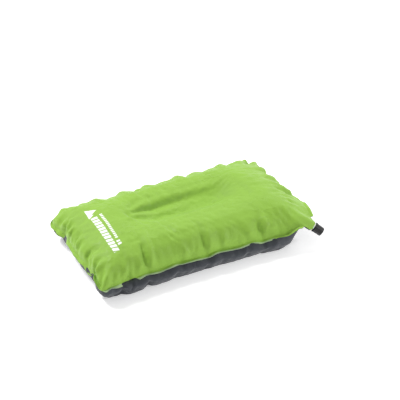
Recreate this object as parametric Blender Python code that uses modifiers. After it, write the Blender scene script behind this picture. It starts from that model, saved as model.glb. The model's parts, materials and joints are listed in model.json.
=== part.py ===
"""Self-inflating camp pillow, built as its real pieces.

Two welded fabric skins hold an open-cell foam core. A twist valve sits in a
tapered neck at one corner: a welded soft base, a threaded stem with a plug on
a post, and a knob that unscrews off the plug to let air through.

Units are metres and +Z is up. The origin is the centre of the face that the
pillow rests on, +X runs along its length to the valve end, and the valve
leaves the corner at +X, -Y.
"""

import math

import bmesh
import bpy
from mathutils import Matrix, Vector

# ---------------------------------------------------------------- dimensions

MM = 0.001

# Fabric envelope
PILLOW_LENGTH = 472 * MM  # corner to corner along X, over the cut edge
PILLOW_WIDTH = 270 * MM  # corner to corner along Y
PILLOW_HEIGHT = 98 * MM  # resting face to the top of the crown
END_BOW = 7 * MM  # the short sides swell outwards between the corners
SIDE_PINCH = 7 * MM  # the long sides pull in
SEAM_HEIGHT = 42 * MM  # the seam plane above the resting face
CORNER_RADIUS = 14 * MM
WELD_MARGIN = 7 * MM  # flat welded strip outside the air chamber
SKIN = 0.8 * MM  # fabric with its airtight coating
TOUCH_GAP = 0.3 * MM  # gap kept between pieces that touch
SHOULDER = 75 * MM  # how far in from the weld the crown reaches full height
BELLY = 36 * MM  # the same for the underside
CORNER_DROP = 0.2  # share of the crown's rise that is lost over a corner
CROWN_FULLNESS = 0.77  # power on the climb: lower is fuller near the weld
SPINE_HALF_WIDTH = 8 * MM  # the innermost ring runs this far from the midline

# Valley that the head rests in
VALLEY_DEPTH = 27 * MM
VALLEY_CENTRE_X = 14 * MM
VALLEY_HALF_LENGTH = 104 * MM
VALLEY_HALF_WIDTH = 30 * MM
VALLEY_END_START = 0.55  # shares of the half length between which its ends rise
VALLEY_END_STOP = 1.35

# Foam core
FOAM_GAP = 0.6 * MM  # vertical gap from the foam to a skin
FOAM_INSET = 16 * MM  # from the weld to the foam's side wall
SLOT_LENGTH = 200 * MM  # relief slot under the valley
SLOT_WIDTH = 22 * MM
FOAM_CORNER_CUT = 52 * MM  # the foam's corner is cut off this far behind the neck
AIR_POCKET_RADIUS = 12 * MM  # hollow in the foam behind the valve
AIR_POCKET_DEPTH = 72 * MM  # from the neck's edge back into the foam

# Valve placement: where the neck's cut edge crosses the valve's axis
NECK_PROUD = 9 * MM  # past the short side's corners
NECK_INBOARD = 8.5 * MM  # in from the long side's corners
NECK_ABOVE_SEAM = 1 * MM
VALVE_HEADING = math.radians(-33)  # about Z, from +X
VALVE_DROOP = math.radians(36)  # below the horizon
NECK_BLEND = 34 * MM  # over which the corner narrows into the neck
FLARE_ALONG_SIDE = 70 * MM  # from the neck back to where the long side runs true
FLARE_ALONG_END = 185 * MM  # the short side slants out to the neck over this length
FLARE_SWELL = 30 * MM  # how far the slant stands proud of the short side
FLARE_LEAN = 7 * MM  # its fullest place lies this far towards the neck

# Valve base: an eye-shaped fin welded between the skins, with a round collar
FIN_WIDTH = 34 * MM
FIN_THICKNESS = 15.4 * MM
FIN_LENGTH = 14 * MM
COLLAR_MARGIN = 0.4 * MM  # the collar's radius past the stem's flange
COLLAR_LENGTH = 3.4 * MM
NOZZLE_LENGTH = 4 * MM  # behind the fin, into the air pocket
BASE_BORE = 6.0 * MM
NOZZLE_WALL = 1.2 * MM
COLLAR_NECK_WALL = 1.0 * MM  # between the fabric's edge and the collar

# Valve stem
STEM_BORE = 4.2 * MM
FLANGE_WIDTH = 2.0 * MM  # outside the land
FLANGE_THICKNESS = 1.3 * MM
LAND_RADIUS = 6.2 * MM  # smooth length that the knob's seal slides on
THREAD_STEP = 0.1 * MM  # from the land down to the thread's core
THREAD_HEIGHT = 0.8 * MM
THREAD_LENGTH = 4.4 * MM
THREAD_LEAD = 4.0 * MM  # travel of the knob in one turn
THREAD_STARTS = 2
THREAD_ROOT_WIDTH = 1.1 * MM
THREAD_TIP_WIDTH = 0.5 * MM
THREAD_CLEARANCE = 0.3 * MM
POST_RADIUS = 1.7 * MM
RIB_THICKNESS = 1.2 * MM
RIB_COUNT = 3
RIB_LENGTH = 4.0 * MM
PLUG_RADIUS = 3.4 * MM
PLUG_LENGTH = 3.0 * MM

# Rings: radius of the rubber's section, then the clearance left round it
SEAL_SECTION = 0.65 * MM
PLUG_SEAL_SECTION = 0.6 * MM
RUNNING_GAP = 0.2 * MM
STOP_RING_THICKNESS = 0.8 * MM
STOP_RING_WIDTH = 1.6 * MM
STOP_RING_OPENING = math.radians(26)

# Knob
KNOB_LENGTH = 20.4 * MM
KNOB_TRAVEL = THREAD_LEAD  # one full turn
KNOB_WALL = 1.3 * MM  # at the thinnest, between a flat of the grip and the stop ring
RIM_PROUD = 0.2 * MM  # round rim at the knob's foot, past the grip's corners
RIM_LENGTH = 3.0 * MM
GRIP_TAPER = 0.8 * MM  # on the radius, from foot to tip
GRIP_SIDES = 8
EDGE_ROUND = 0.9 * MM
MOUTH_FLARE = 1.1 * MM  # on the radius, from the throat out to the mouth
MOUTH_DEPTH = 1.0 * MM
KNOB_LIP = 0.7 * MM  # plastic left between the rings' grooves

# Mesh fineness
NECK_STEPS = 5  # points on each side of the middle of the neck's edge
TURN_STEPS = 32
RING_STEPS = 24
RING_SECTION_STEPS = 6

# The middle of the neck's cut edge
NECK_X = PILLOW_LENGTH / 2 + NECK_PROUD
NECK_Y = NECK_INBOARD - PILLOW_WIDTH / 2
NECK_Z = SEAM_HEIGHT + NECK_ABOVE_SEAM

# In plan, from the neck's cut edge back past the fin and nozzle
NECK_RUN = (FIN_LENGTH + NOZZLE_LENGTH) * math.cos(VALVE_DROOP)

# Driven sizes along the valve's axis, from the neck's cut edge outwards
THREAD_CORE = LAND_RADIUS - THREAD_STEP
FLANGE_RADIUS = LAND_RADIUS + FLANGE_WIDTH
COLLAR_RADIUS = FLANGE_RADIUS + COLLAR_MARGIN
STEM_SEAT = COLLAR_LENGTH + TOUCH_GAP
FLANGE_TOP = STEM_SEAT + FLANGE_THICKNESS
KNOB_FOOT = COLLAR_LENGTH + 2 * TOUCH_GAP
KNOB_TOP = KNOB_FOOT + KNOB_LENGTH
SKIRT_TOP = FLANGE_TOP + TOUCH_GAP
SKIRT_RADIUS = FLANGE_RADIUS + 2 * TOUCH_GAP
SEAL_RADIUS = LAND_RADIUS + RUNNING_GAP + SEAL_SECTION
SEAL_POCKET = 2 * (SEAL_SECTION + RUNNING_GAP)
SEAL_HEIGHT = SKIRT_TOP + KNOB_LIP + SEAL_POCKET / 2
STOP_INNER = LAND_RADIUS + TOUCH_GAP
STOP_OUTER = STOP_INNER + STOP_RING_WIDTH
STOP_POCKET_FOOT = SEAL_HEIGHT + SEAL_POCKET / 2 + KNOB_LIP
STOP_POCKET_TOP = STOP_POCKET_FOOT + STOP_RING_THICKNESS + 2 * TOUCH_GAP
STOP_RING_TOP = STOP_POCKET_TOP - TOUCH_GAP
THREAD_FOOT = STOP_RING_TOP + KNOB_TRAVEL + TOUCH_GAP
STEM_TOP = THREAD_FOOT + THREAD_LENGTH
LAND_TOP = THREAD_FOOT - 0.2 * MM
KNOB_THREAD_FOOT = STOP_POCKET_TOP + KNOB_LIP
PASS_RADIUS = THREAD_CORE + THREAD_HEIGHT + THREAD_CLEARANCE + 0.1 * MM
MINOR_RADIUS = LAND_RADIUS + RUNNING_GAP
GRIP_FOOT_RADIUS = (STOP_OUTER + TOUCH_GAP + KNOB_WALL) / math.cos(math.pi / GRIP_SIDES)
GRIP_TIP_RADIUS = GRIP_FOOT_RADIUS - GRIP_TAPER
RIM_RADIUS = GRIP_FOOT_RADIUS + RIM_PROUD
THROAT_RADIUS = PLUG_RADIUS + RUNNING_GAP + TOUCH_GAP
MOUTH_RADIUS = THROAT_RADIUS + MOUTH_FLARE
THROAT_FOOT = KNOB_TOP - MOUTH_DEPTH - PLUG_LENGTH + RUNNING_GAP
PLUG_TOP = KNOB_TOP - MOUTH_DEPTH
PLUG_FOOT = PLUG_TOP - PLUG_LENGTH
PLUG_SEAL_HEIGHT = (PLUG_FOOT + PLUG_TOP) / 2
PLUG_SEAL_RADIUS = THROAT_RADIUS - RUNNING_GAP - PLUG_SEAL_SECTION
RIB_TOP = STEM_TOP - 1.0 * MM

COLOURS = {
    "lime_polyester": ((0.30, 0.56, 0.08), 0.75),
    "grey_polyester": ((0.060, 0.065, 0.080), 0.80),
    "pu_foam": ((0.86, 0.83, 0.72), 0.95),
    "milky_tpu": ((0.80, 0.82, 0.76), 0.45),
    "black_abs": ((0.012, 0.012, 0.013), 0.28),
    "silicone_rubber": ((0.030, 0.030, 0.032), 0.55),
    "spring_clip": ((0.75, 0.76, 0.78), 0.35),
}


# -------------------------------------------------------------- scene helpers


def start_scene():
    """Empty the file and make the two collections."""
    for found in list(bpy.data.objects):
        bpy.data.objects.remove(found, do_unlink=True)
    made = []
    for name in ("camp_pillow", "cutters"):
        collection = bpy.data.collections.new(name)
        bpy.context.scene.collection.children.link(collection)
        made.append(collection)
    return made


def make_materials():
    """A Principled material for each finish."""
    made = {}
    for name, (colour, roughness) in COLOURS.items():
        material = bpy.data.materials.new(name)
        material.use_nodes = True
        shader = material.node_tree.nodes["Principled BSDF"]
        shader.inputs["Base Color"].default_value = (*colour, 1.0)
        shader.inputs["Roughness"].default_value = roughness
        shader.inputs["Metallic"].default_value = 1.0 if name == "spring_clip" else 0.0
        made[name] = material
    return made


def add_object(name, mesh, material=None, parent=None, cutter=False):
    """Link a mesh as a named part, or as a hidden cutter."""
    obj = bpy.data.objects.new(name, mesh)
    (CUTTERS if cutter else PARTS).objects.link(obj)
    obj.parent = parent
    if cutter:
        obj.hide_render = True
        obj.display_type = "WIRE"
    if material:
        mesh.materials.append(MATERIALS[material])
    return obj


def mesh_from(bm, name):
    mesh = bpy.data.meshes.new(name)
    bm.to_mesh(mesh)
    bm.free()
    return mesh


def smooth(obj, angle=32):
    obj.data.shade_smooth()
    obj.data.set_sharp_from_angle(angle=math.radians(angle))


def combine(target, other, operation):
    """Join or cut target with another mesh object, exactly."""
    boolean = target.modifiers.new(operation.lower() + "_" + other.name, "BOOLEAN")
    boolean.operation = operation
    boolean.object = other
    boolean.solver = "EXACT"


def turned(name, profile, steps=TURN_STEPS, **place):
    """A closed (radius, height) outline, listed up its outer side, swept round local Z."""
    mesh = bpy.data.meshes.new(name)
    points = [(radius, 0.0, height) for radius, height in reversed(profile)]
    count = len(points)
    edges = [(i, (i + 1) % count) for i in range(count)]
    mesh.from_pydata(points, edges, [])
    obj = add_object(name, mesh, **place)
    screw = obj.modifiers.new("turn", "SCREW")
    screw.steps = steps
    screw.render_steps = steps
    screw.use_merge_vertices = True
    screw.merge_threshold = 0.01 * MM
    screw.use_smooth_shade = True
    return obj


def rubber_ring(name, radius, height, section, parent):
    """An O-ring round the local Z axis."""
    outline = []
    for i in range(RING_SECTION_STEPS):
        turn = math.tau * i / RING_SECTION_STEPS
        outline.append((radius + section * math.cos(turn), height + section * math.sin(turn)))
    return turned(name, outline, RING_STEPS, material="silicone_rubber", parent=parent)


# ------------------------------------------------------- shape of the envelope


def valve_matrix():
    """Local Z runs out along the valve, local X up square to it, local Y across."""
    out = Vector((
        math.cos(VALVE_HEADING) * math.cos(VALVE_DROOP),
        math.sin(VALVE_HEADING) * math.cos(VALVE_DROOP),
        -math.sin(VALVE_DROOP),
    ))
    across = Vector((math.sin(VALVE_HEADING), -math.cos(VALVE_HEADING), 0.0))
    up = across.cross(out)
    turn = Matrix((up, across, out)).transposed().to_4x4()
    return Matrix.Translation((NECK_X, NECK_Y, NECK_Z)) @ turn


def smoothstep(low, high, value):
    share = min(1.0, max(0.0, (value - low) / (high - low)))
    return share * share * (3 - 2 * share)


def fin_half(across, grow=0.0):
    """Half thickness of the eye-shaped fin at a distance from its middle."""
    reach = FIN_WIDTH / 2 + grow
    if abs(across) >= reach:
        return 0.0
    return (FIN_THICKNESS / 2 + grow) * math.cos(math.pi * across / (2 * reach)) ** 2


def neck_edge():
    """The neck's cut edge, as distances across the valve's axis."""
    half = FIN_WIDTH / 2 + TOUCH_GAP
    inner = [half * i / NECK_STEPS for i in range(-NECK_STEPS, NECK_STEPS + 1)]
    return [-half - WELD_MARGIN, *inner, half + WELD_MARGIN]


def neck_outline():
    """The valve's corner in plan: the neck's cut edge, flared into both sides."""
    out = Vector((math.cos(VALVE_HEADING), math.sin(VALVE_HEADING)))
    across = Vector((-out.y, out.x))
    tip = Vector((NECK_X, NECK_Y))
    edge = [tip + across * shift for shift in neck_edge()]
    side_foot = bowed(Vector((NECK_X - FLARE_ALONG_SIDE, -PILLOW_WIDTH / 2)))
    end_foot = bowed(Vector((PILLOW_LENGTH / 2, NECK_Y + FLARE_ALONG_END)))
    side_bend = side_foot + Vector((FLARE_ALONG_SIDE / 2, 0))
    end_bend = (edge[-1] + end_foot) / 2
    end_bend = Vector((PILLOW_LENGTH / 2 + FLARE_SWELL, end_bend.y - FLARE_LEAN))
    before = [bend_at(side_foot, side_bend, edge[0], share) for share in (0, 0.3, 0.55, 0.8)]
    after = [bend_at(edge[-1], end_bend, end_foot, share) for share in (0.12, 0.25, 0.4, 0.6, 0.8, 1)]
    return before + edge + after


def bowed(plan):
    """Moves a point of the plain rectangle so that its ends bow and its sides pinch."""
    along = plan.x / (PILLOW_LENGTH / 2)
    across = plan.y / (PILLOW_WIDTH / 2)
    bow = END_BOW * (1 - across**2) * along
    pinch = SIDE_PINCH * (1 - along**2) * across
    return plan + Vector((bow, -pinch))


def bend_at(start, bend, end, share):
    """A point of the curve that leaves start and reaches end towards bend."""
    return (1 - share) ** 2 * start + 2 * share * (1 - share) * bend + share**2 * end


def corner_arc(side_x, side_y, steps=3):
    """A rounded corner of the plan, anticlockwise."""
    centre = Vector((
        side_x * (PILLOW_LENGTH / 2 - CORNER_RADIUS),
        side_y * (PILLOW_WIDTH / 2 - CORNER_RADIUS),
    ))
    start = math.atan2(side_y, side_x) - math.pi / 4
    turns = [start + math.pi / 2 * i / steps for i in range(steps + 1)]
    arc = [centre + CORNER_RADIUS * Vector((math.cos(turn), math.sin(turn))) for turn in turns]
    return [bowed(point) for point in arc]


def cut_outline():
    """The cut edge in plan, anticlockwise from the corner that has the valve."""
    corners = [neck_outline(), corner_arc(1, 1), corner_arc(-1, 1), corner_arc(-1, -1)]
    points = []
    for corner, following in zip(corners, corners[1:] + corners[:1]):
        points += corner
        points += between(corner[-1], following[0])
    return points


def between(start, end, spacing=33 * MM):
    """Evenly spaced points strictly between two others, bowed or pinched like the sides."""
    count = max(1, round((end - start).length / spacing))
    straight = [start.lerp(end, i / count) for i in range(1, count)]
    shift = (bowed(start) - start).lerp(bowed(end) - end, 0.5)
    return [bowed(point) - shift for point in straight]


def ring_depths(side, first=0.0):
    """Distances in from the cut edge at which the sheets have a ring of points."""
    half_y = PILLOW_WIDTH / 2
    shoulder = [WELD_MARGIN + SHOULDER * (1 - math.cos(math.radians(turn))) for turn in (22, 60, 76, 90)]
    last = half_y - SPINE_HALF_WIDTH
    depths = [0.0, WELD_MARGIN, NECK_RUN, WELD_MARGIN + FOAM_INSET, *shoulder, last]
    if side > 0:
        depths.append((shoulder[-1] + last) / 2)
    return sorted(depth for depth in depths if depth >= first - 0.01 * MM)


def rise(depth, reach):
    """Climb from the weld to full height: steep at first, then rounding over."""
    share = min(1.0, max(0.0, depth / reach))
    return (1 - (1 - share) ** 2) ** CROWN_FULLNESS


def valley(x, y):
    """How far the top skin dips between the two bolsters."""
    along = abs(x - VALLEY_CENTRE_X) / VALLEY_HALF_LENGTH
    across = y / VALLEY_HALF_WIDTH
    deep = 1 - smoothstep(VALLEY_END_START, VALLEY_END_STOP, along)
    return VALLEY_DEPTH * deep * math.exp(-across * across)


def envelope_point(plan, depth, side, spare):
    """A point of a skin's inner face, or of a face that lies spare inside it.

    plan is its place seen from above, depth its distance in from the cut edge,
    and side is +1 on the top skin and -1 on the bottom one.
    """
    inside = depth - WELD_MARGIN
    if side > 0:
        cornering = abs(plan.x) / (PILLOW_LENGTH / 2) * abs(plan.y) / (PILLOW_WIDTH / 2)
        crown = (PILLOW_HEIGHT - SKIN - SEAM_HEIGHT) * (1 - CORNER_DROP * min(1.0, cornering))
        z = SEAM_HEIGHT + TOUCH_GAP / 2 + crown * rise(inside, SHOULDER)
        z -= valley(*plan) * rise(inside, SHOULDER) + spare
    else:
        z = SKIN + (SEAM_HEIGHT - SKIN - TOUCH_GAP / 2) * (1 - rise(inside, BELLY)) + spare
    along, across = from_neck(plan)
    on_neck = neck_point(along, across, side)
    return Vector((*plan, z)).lerp(on_neck, smoothstep(-NECK_BLEND - NECK_RUN, -NECK_RUN, along))


def from_neck(plan):
    """A place in plan as distances out along the valve's heading and across it."""
    away = Vector(plan) - Vector((NECK_X, NECK_Y))
    out = Vector((math.cos(VALVE_HEADING), math.sin(VALVE_HEADING)))
    return away.dot(out), out.cross(away)


def neck_point(along, across, side):
    """A skin's inner face on the neck: tilted over the fin, levelling out behind it."""
    slope = math.tan(VALVE_DROOP)
    behind = max(0.0, -along - NECK_RUN)
    drop = slope * (along + behind**2 / (2 * NECK_BLEND))
    out = Vector((math.cos(VALVE_HEADING), math.sin(VALVE_HEADING), 0.0))
    sideways = Vector((-out.y, out.x, 0.0))
    centre = Vector((NECK_X, NECK_Y, NECK_Z - drop)) + out * along + sideways * across
    up = valve_matrix().to_3x3().col[0]
    return centre + up * side * (fin_half(across, TOUCH_GAP) + TOUCH_GAP / 2)


def spine_point(plan):
    """Where a ring collapses to: the nearest point of the pillow's midline."""
    reach = (PILLOW_LENGTH - PILLOW_WIDTH) / 2
    return Vector((min(reach, max(-reach, plan.x)), 0.0))


def inset(plan, depth):
    """Moves a point of the cut edge inwards, towards the spine."""
    spine = spine_point(plan)
    whole = (spine - plan).length
    half_y = PILLOW_WIDTH / 2
    share = depth / whole + (1 - half_y / whole) * (depth / half_y) ** 2
    return plan.lerp(spine, share)


def envelope_sheet(bm, outline, side, depths, spare=0.0):
    """Triangles over the whole plan, ring by ring; returns the outermost ring."""
    rings = []
    for depth in depths:
        places = [envelope_point(inset(plan, depth), depth, side, spare) for plan in outline]
        rings.append([bm.verts.new(place) for place in places])
    count = len(outline)
    for outer, inner in zip(rings, rings[1:]):
        for i in range(count):
            after = (i + 1) % count
            for corners in (
                [outer[i], outer[after], inner[after]],
                [outer[i], inner[after], inner[i]],
            ):
                bm.faces.new(corners if side > 0 else corners[::-1])
    close_across(bm, rings[-1], side)
    return rings[0]


def close_across(bm, ring, side):
    """Triangles over a ring, chosen on its plan alone, so sheets of one plan match."""
    flat = bmesh.new()
    corners = [flat.verts.new((vert.co.x, vert.co.y, 0)) for vert in ring]
    rim = [flat.edges.new((corners[i - 1], corners[i])) for i in range(len(ring))]
    bmesh.ops.triangle_fill(flat, use_beauty=True, edges=rim, normal=(0, 0, 1))
    flat.verts.index_update()
    for face in flat.faces:
        above = [ring[vert.index] for vert in face.verts]
        bm.faces.new(above if side > 0 else above[::-1])
    flat.free()


# ------------------------------------------------------------------ soft parts


def make_skin(name, side, material):
    """One fabric skin: an open sheet thickened outwards."""
    bm = bmesh.new()
    envelope_sheet(bm, cut_outline(), side, ring_depths(side))
    skin = add_object(name, mesh_from(bm, name), material)
    solidify = skin.modifiers.new("fabric", "SOLIDIFY")
    solidify.thickness = SKIN
    solidify.offset = 1.0
    smooth(skin, 60)
    return skin


def make_foam():
    """The foam block: a relief slot, one corner cut off, and an air pocket there."""
    first = WELD_MARGIN + FOAM_INSET
    outline = cut_outline()
    bm = bmesh.new()
    upper = envelope_sheet(bm, outline, 1, ring_depths(1, first), FOAM_GAP)
    lower = envelope_sheet(bm, outline, -1, ring_depths(-1, first), FOAM_GAP)
    count = len(upper)
    for i in range(count):
        after = (i + 1) % count
        bm.faces.new([lower[i], lower[after], upper[after], upper[i]])
    foam = add_object("foam_core", mesh_from(bm, "foam_core"), "pu_foam")
    combine(foam, make_slot_cutter(), "DIFFERENCE")
    combine(foam, make_corner_cutter(), "DIFFERENCE")
    combine(foam, make_pocket_cutter(), "DIFFERENCE")
    smooth(foam, 50)


def make_slot_cutter():
    """A tall bar with round ends, through the foam under the valley."""
    bm = bmesh.new()
    round_steps = 6
    outline = []
    for end in (1, -1):
        for i in range(round_steps + 1):
            turn = -math.pi / 2 + math.pi * i / round_steps
            x = end * ((SLOT_LENGTH - SLOT_WIDTH) / 2 + SLOT_WIDTH / 2 * math.cos(turn))
            outline.append(bm.verts.new((x, end * SLOT_WIDTH / 2 * math.sin(turn), -PILLOW_HEIGHT)))
    foot = bm.faces.new(outline)
    raised = bmesh.ops.extrude_face_region(bm, geom=[foot])["geom"]
    tops = [item for item in raised if isinstance(item, bmesh.types.BMVert)]
    bmesh.ops.translate(bm, verts=tops, vec=(0, 0, 3 * PILLOW_HEIGHT))
    bmesh.ops.recalc_face_normals(bm, faces=bm.faces)
    cutter = add_object("slot_cutter", mesh_from(bm, "slot_cutter"), cutter=True)
    cutter.location.x = VALLEY_CENTRE_X
    return cutter


def make_corner_cutter():
    """A block upright across the valve's heading, over the corner."""
    bm = bmesh.new()
    size = PILLOW_WIDTH
    bmesh.ops.create_cube(bm, size=size)
    bmesh.ops.translate(bm, verts=bm.verts, vec=(size / 2 - FOAM_CORNER_CUT, 0, 0))
    cutter = add_object("corner_cutter", mesh_from(bm, "corner_cutter"), cutter=True)
    cutter.location = (NECK_X, NECK_Y, NECK_Z)
    cutter.rotation_euler.z = VALVE_HEADING
    return cutter


def make_pocket_cutter():
    """A round bar along the valve's axis, back into the foam."""
    bm = bmesh.new()
    length = AIR_POCKET_DEPTH
    bmesh.ops.create_cone(
        bm, cap_ends=True, segments=20, radius1=AIR_POCKET_RADIUS, radius2=AIR_POCKET_RADIUS,
        depth=length, matrix=Matrix.Translation((0, 0, -length / 2)),
    )
    return add_object("pocket_cutter", mesh_from(bm, "pocket_cutter"), parent=VALVE, cutter=True)


# ----------------------------------------------------------------- valve parts


def make_base():
    """The soft fitment: eye-shaped fin, outer collar, inner nozzle, one bore."""
    bm = bmesh.new()
    steps = 14
    outline = []
    for side in (1, -1):
        for i in range(steps):
            across = side * FIN_WIDTH * (0.5 - i / steps)
            outline.append(bm.verts.new((side * fin_half(across), across, -FIN_LENGTH)))
    foot = bm.faces.new(outline)
    raised = bmesh.ops.extrude_face_region(bm, geom=[foot])["geom"]
    tops = [item for item in raised if isinstance(item, bmesh.types.BMVert)]
    bmesh.ops.translate(bm, verts=tops, vec=(0, 0, FIN_LENGTH))
    bmesh.ops.recalc_face_normals(bm, faces=bm.faces)
    base = add_object("valve_base", mesh_from(bm, "valve_base"), "milky_tpu", VALVE)
    inside = FIN_LENGTH / 3
    round_over = 0.5 * MM
    collar = turned(
        "collar_form",
        [
            (0.0, COLLAR_LENGTH),
            (0.0, -inside),
            (BASE_BORE + COLLAR_NECK_WALL, -inside),
            (BASE_BORE + COLLAR_NECK_WALL, 2 * TOUCH_GAP),
            (COLLAR_RADIUS, 2 * TOUCH_GAP + round_over),
            (COLLAR_RADIUS, COLLAR_LENGTH - round_over),
            (COLLAR_RADIUS - round_over, COLLAR_LENGTH),
        ],
        parent=VALVE, cutter=True,
    )
    nozzle_radius = BASE_BORE + NOZZLE_WALL
    nozzle = turned(
        "nozzle_form",
        [
            (0.0, -inside),
            (0.0, -FIN_LENGTH - NOZZLE_LENGTH),
            (nozzle_radius, -FIN_LENGTH - NOZZLE_LENGTH),
            (nozzle_radius, -inside),
        ],
        parent=VALVE, cutter=True,
    )
    past = 2 * MM
    bore = turned(
        "base_bore",
        [
            (0.0, COLLAR_LENGTH + past),
            (0.0, -FIN_LENGTH - NOZZLE_LENGTH - past),
            (BASE_BORE, -FIN_LENGTH - NOZZLE_LENGTH - past),
            (BASE_BORE, COLLAR_LENGTH + past),
        ],
        parent=VALVE, cutter=True,
    )
    combine(base, collar, "UNION")
    combine(base, nozzle, "UNION")
    combine(base, bore, "DIFFERENCE")
    smooth(base)


def make_thread(name, core, height, foot, top, grow):
    """Helical ridges round local Z, all starts in one mesh.

    grow widens and heightens the ridge, for the groove that runs on it.
    """
    bm = bmesh.new()
    sink = 0.4 * MM
    steps = math.ceil((top - foot) / THREAD_LEAD * TURN_STEPS)
    section = (
        (core - sink, -THREAD_ROOT_WIDTH / 2 - grow),
        (core + height + grow, -THREAD_TIP_WIDTH / 2 - grow),
        (core + height + grow, THREAD_TIP_WIDTH / 2 + grow),
        (core - sink, THREAD_ROOT_WIDTH / 2 + grow),
    )
    for start in range(THREAD_STARTS):
        sections = []
        for i in range(steps + 1):
            height_now = foot + (top - foot) * i / steps
            turn = math.tau * (height_now / THREAD_LEAD + start / THREAD_STARTS)
            ring = []
            for radius, shift in section:
                point = (radius * math.cos(turn), radius * math.sin(turn), height_now + shift)
                ring.append(bm.verts.new(point))
            sections.append(ring)
        for low, high in zip(sections, sections[1:]):
            for k in range(4):
                bm.faces.new([low[k], high[k], high[(k + 1) % 4], low[(k + 1) % 4]])
        bm.faces.new(sections[0])
        bm.faces.new(sections[-1][::-1])
    bmesh.ops.recalc_face_normals(bm, faces=bm.faces)
    return add_object(name, mesh_from(bm, name), parent=VALVE, cutter=True)


def make_stem():
    """The hard core: flanged tube, thread, and a ribbed post with the plug."""
    shank = BASE_BORE - TOUCH_GAP
    tail = -FIN_LENGTH - NOZZLE_LENGTH + 1 * MM
    thread_chamfer = 0.5 * MM
    stem = turned(
        "valve_stem",
        [
            (STEM_BORE, STEM_TOP),
            (STEM_BORE, tail),
            (shank, tail),
            (shank, STEM_SEAT),
            (FLANGE_RADIUS, STEM_SEAT),
            (FLANGE_RADIUS, FLANGE_TOP),
            (LAND_RADIUS, FLANGE_TOP),
            (LAND_RADIUS, LAND_TOP),
            (THREAD_CORE, LAND_TOP),
            (THREAD_CORE, STEM_TOP - thread_chamfer),
            (THREAD_CORE - thread_chamfer, STEM_TOP),
        ],
        material="black_abs", parent=VALVE,
    )
    half_root = THREAD_ROOT_WIDTH / 2
    thread = make_thread(
        "thread_form", THREAD_CORE, THREAD_HEIGHT,
        THREAD_FOOT + half_root, STEM_TOP - half_root - thread_chamfer, 0.0,
    )
    groove = PLUG_SEAL_SECTION + TOUCH_GAP
    groove_radius = PLUG_SEAL_RADIUS - PLUG_SEAL_SECTION - TOUCH_GAP
    post_foot = RIB_TOP - RIB_LENGTH
    dome = 0.5 * MM
    post = turned(
        "post_form",
        [
            (0.0, PLUG_TOP),
            (0.0, post_foot),
            (POST_RADIUS, post_foot),
            (POST_RADIUS, PLUG_FOOT - 1 * MM),
            (PLUG_RADIUS, PLUG_FOOT),
            (PLUG_RADIUS, PLUG_SEAL_HEIGHT - groove),
            (groove_radius, PLUG_SEAL_HEIGHT - groove),
            (groove_radius, PLUG_SEAL_HEIGHT + groove),
            (PLUG_RADIUS, PLUG_SEAL_HEIGHT + groove),
            (PLUG_RADIUS, PLUG_TOP - dome),
            (PLUG_RADIUS - dome, PLUG_TOP),
        ],
        steps=RING_STEPS, parent=VALVE, cutter=True,
    )
    combine(stem, thread, "UNION")
    for i in range(RIB_COUNT):
        combine(stem, make_rib(i), "UNION")
    combine(stem, post, "UNION")
    smooth(stem)


def make_rib(index):
    """One web from the stem's wall to the middle of its bore."""
    bm = bmesh.new()
    bmesh.ops.create_cube(bm, size=1.0)
    reach = STEM_BORE + 0.8 * MM
    bmesh.ops.scale(bm, verts=bm.verts, vec=(reach, RIB_THICKNESS, RIB_LENGTH - 0.4 * MM))
    bmesh.ops.translate(bm, verts=bm.verts, vec=(reach / 2, 0, RIB_TOP - RIB_LENGTH / 2))
    turn = Matrix.Rotation(math.tau * index / RIB_COUNT, 3, "Z")
    bmesh.ops.rotate(bm, verts=bm.verts, cent=(0, 0, 0), matrix=turn)
    name = f"rib_form_{index}"
    return add_object(name, mesh_from(bm, name), parent=VALVE, cutter=True)


def make_rings():
    """The plug's seal, the knob's seal and the split ring that stops the knob."""
    rubber_ring("plug_seal", PLUG_SEAL_RADIUS, PLUG_SEAL_HEIGHT, PLUG_SEAL_SECTION, VALVE)
    rubber_ring("knob_seal", SEAL_RADIUS, SEAL_HEIGHT, SEAL_SECTION, VALVE)
    foot = STOP_POCKET_FOOT + TOUCH_GAP
    ring = turned(
        "stop_ring",
        [
            (STOP_INNER, foot + STOP_RING_THICKNESS),
            (STOP_INNER, foot),
            (STOP_OUTER, foot),
            (STOP_OUTER, foot + STOP_RING_THICKNESS),
        ],
        material="spring_clip", parent=VALVE,
    )
    bm = bmesh.new()
    bmesh.ops.create_cube(bm, size=1.0)
    opening = 2 * STOP_INNER * math.sin(STOP_RING_OPENING / 2)
    bmesh.ops.scale(bm, verts=bm.verts, vec=(4 * STOP_OUTER, opening, 4 * STOP_RING_THICKNESS))
    bmesh.ops.translate(bm, verts=bm.verts, vec=(2 * STOP_OUTER, 0, foot + STOP_RING_THICKNESS / 2))
    combine(ring, add_object("ring_gap", mesh_from(bm, "ring_gap"), parent=VALVE, cutter=True), "DIFFERENCE")
    smooth(ring)


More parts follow.
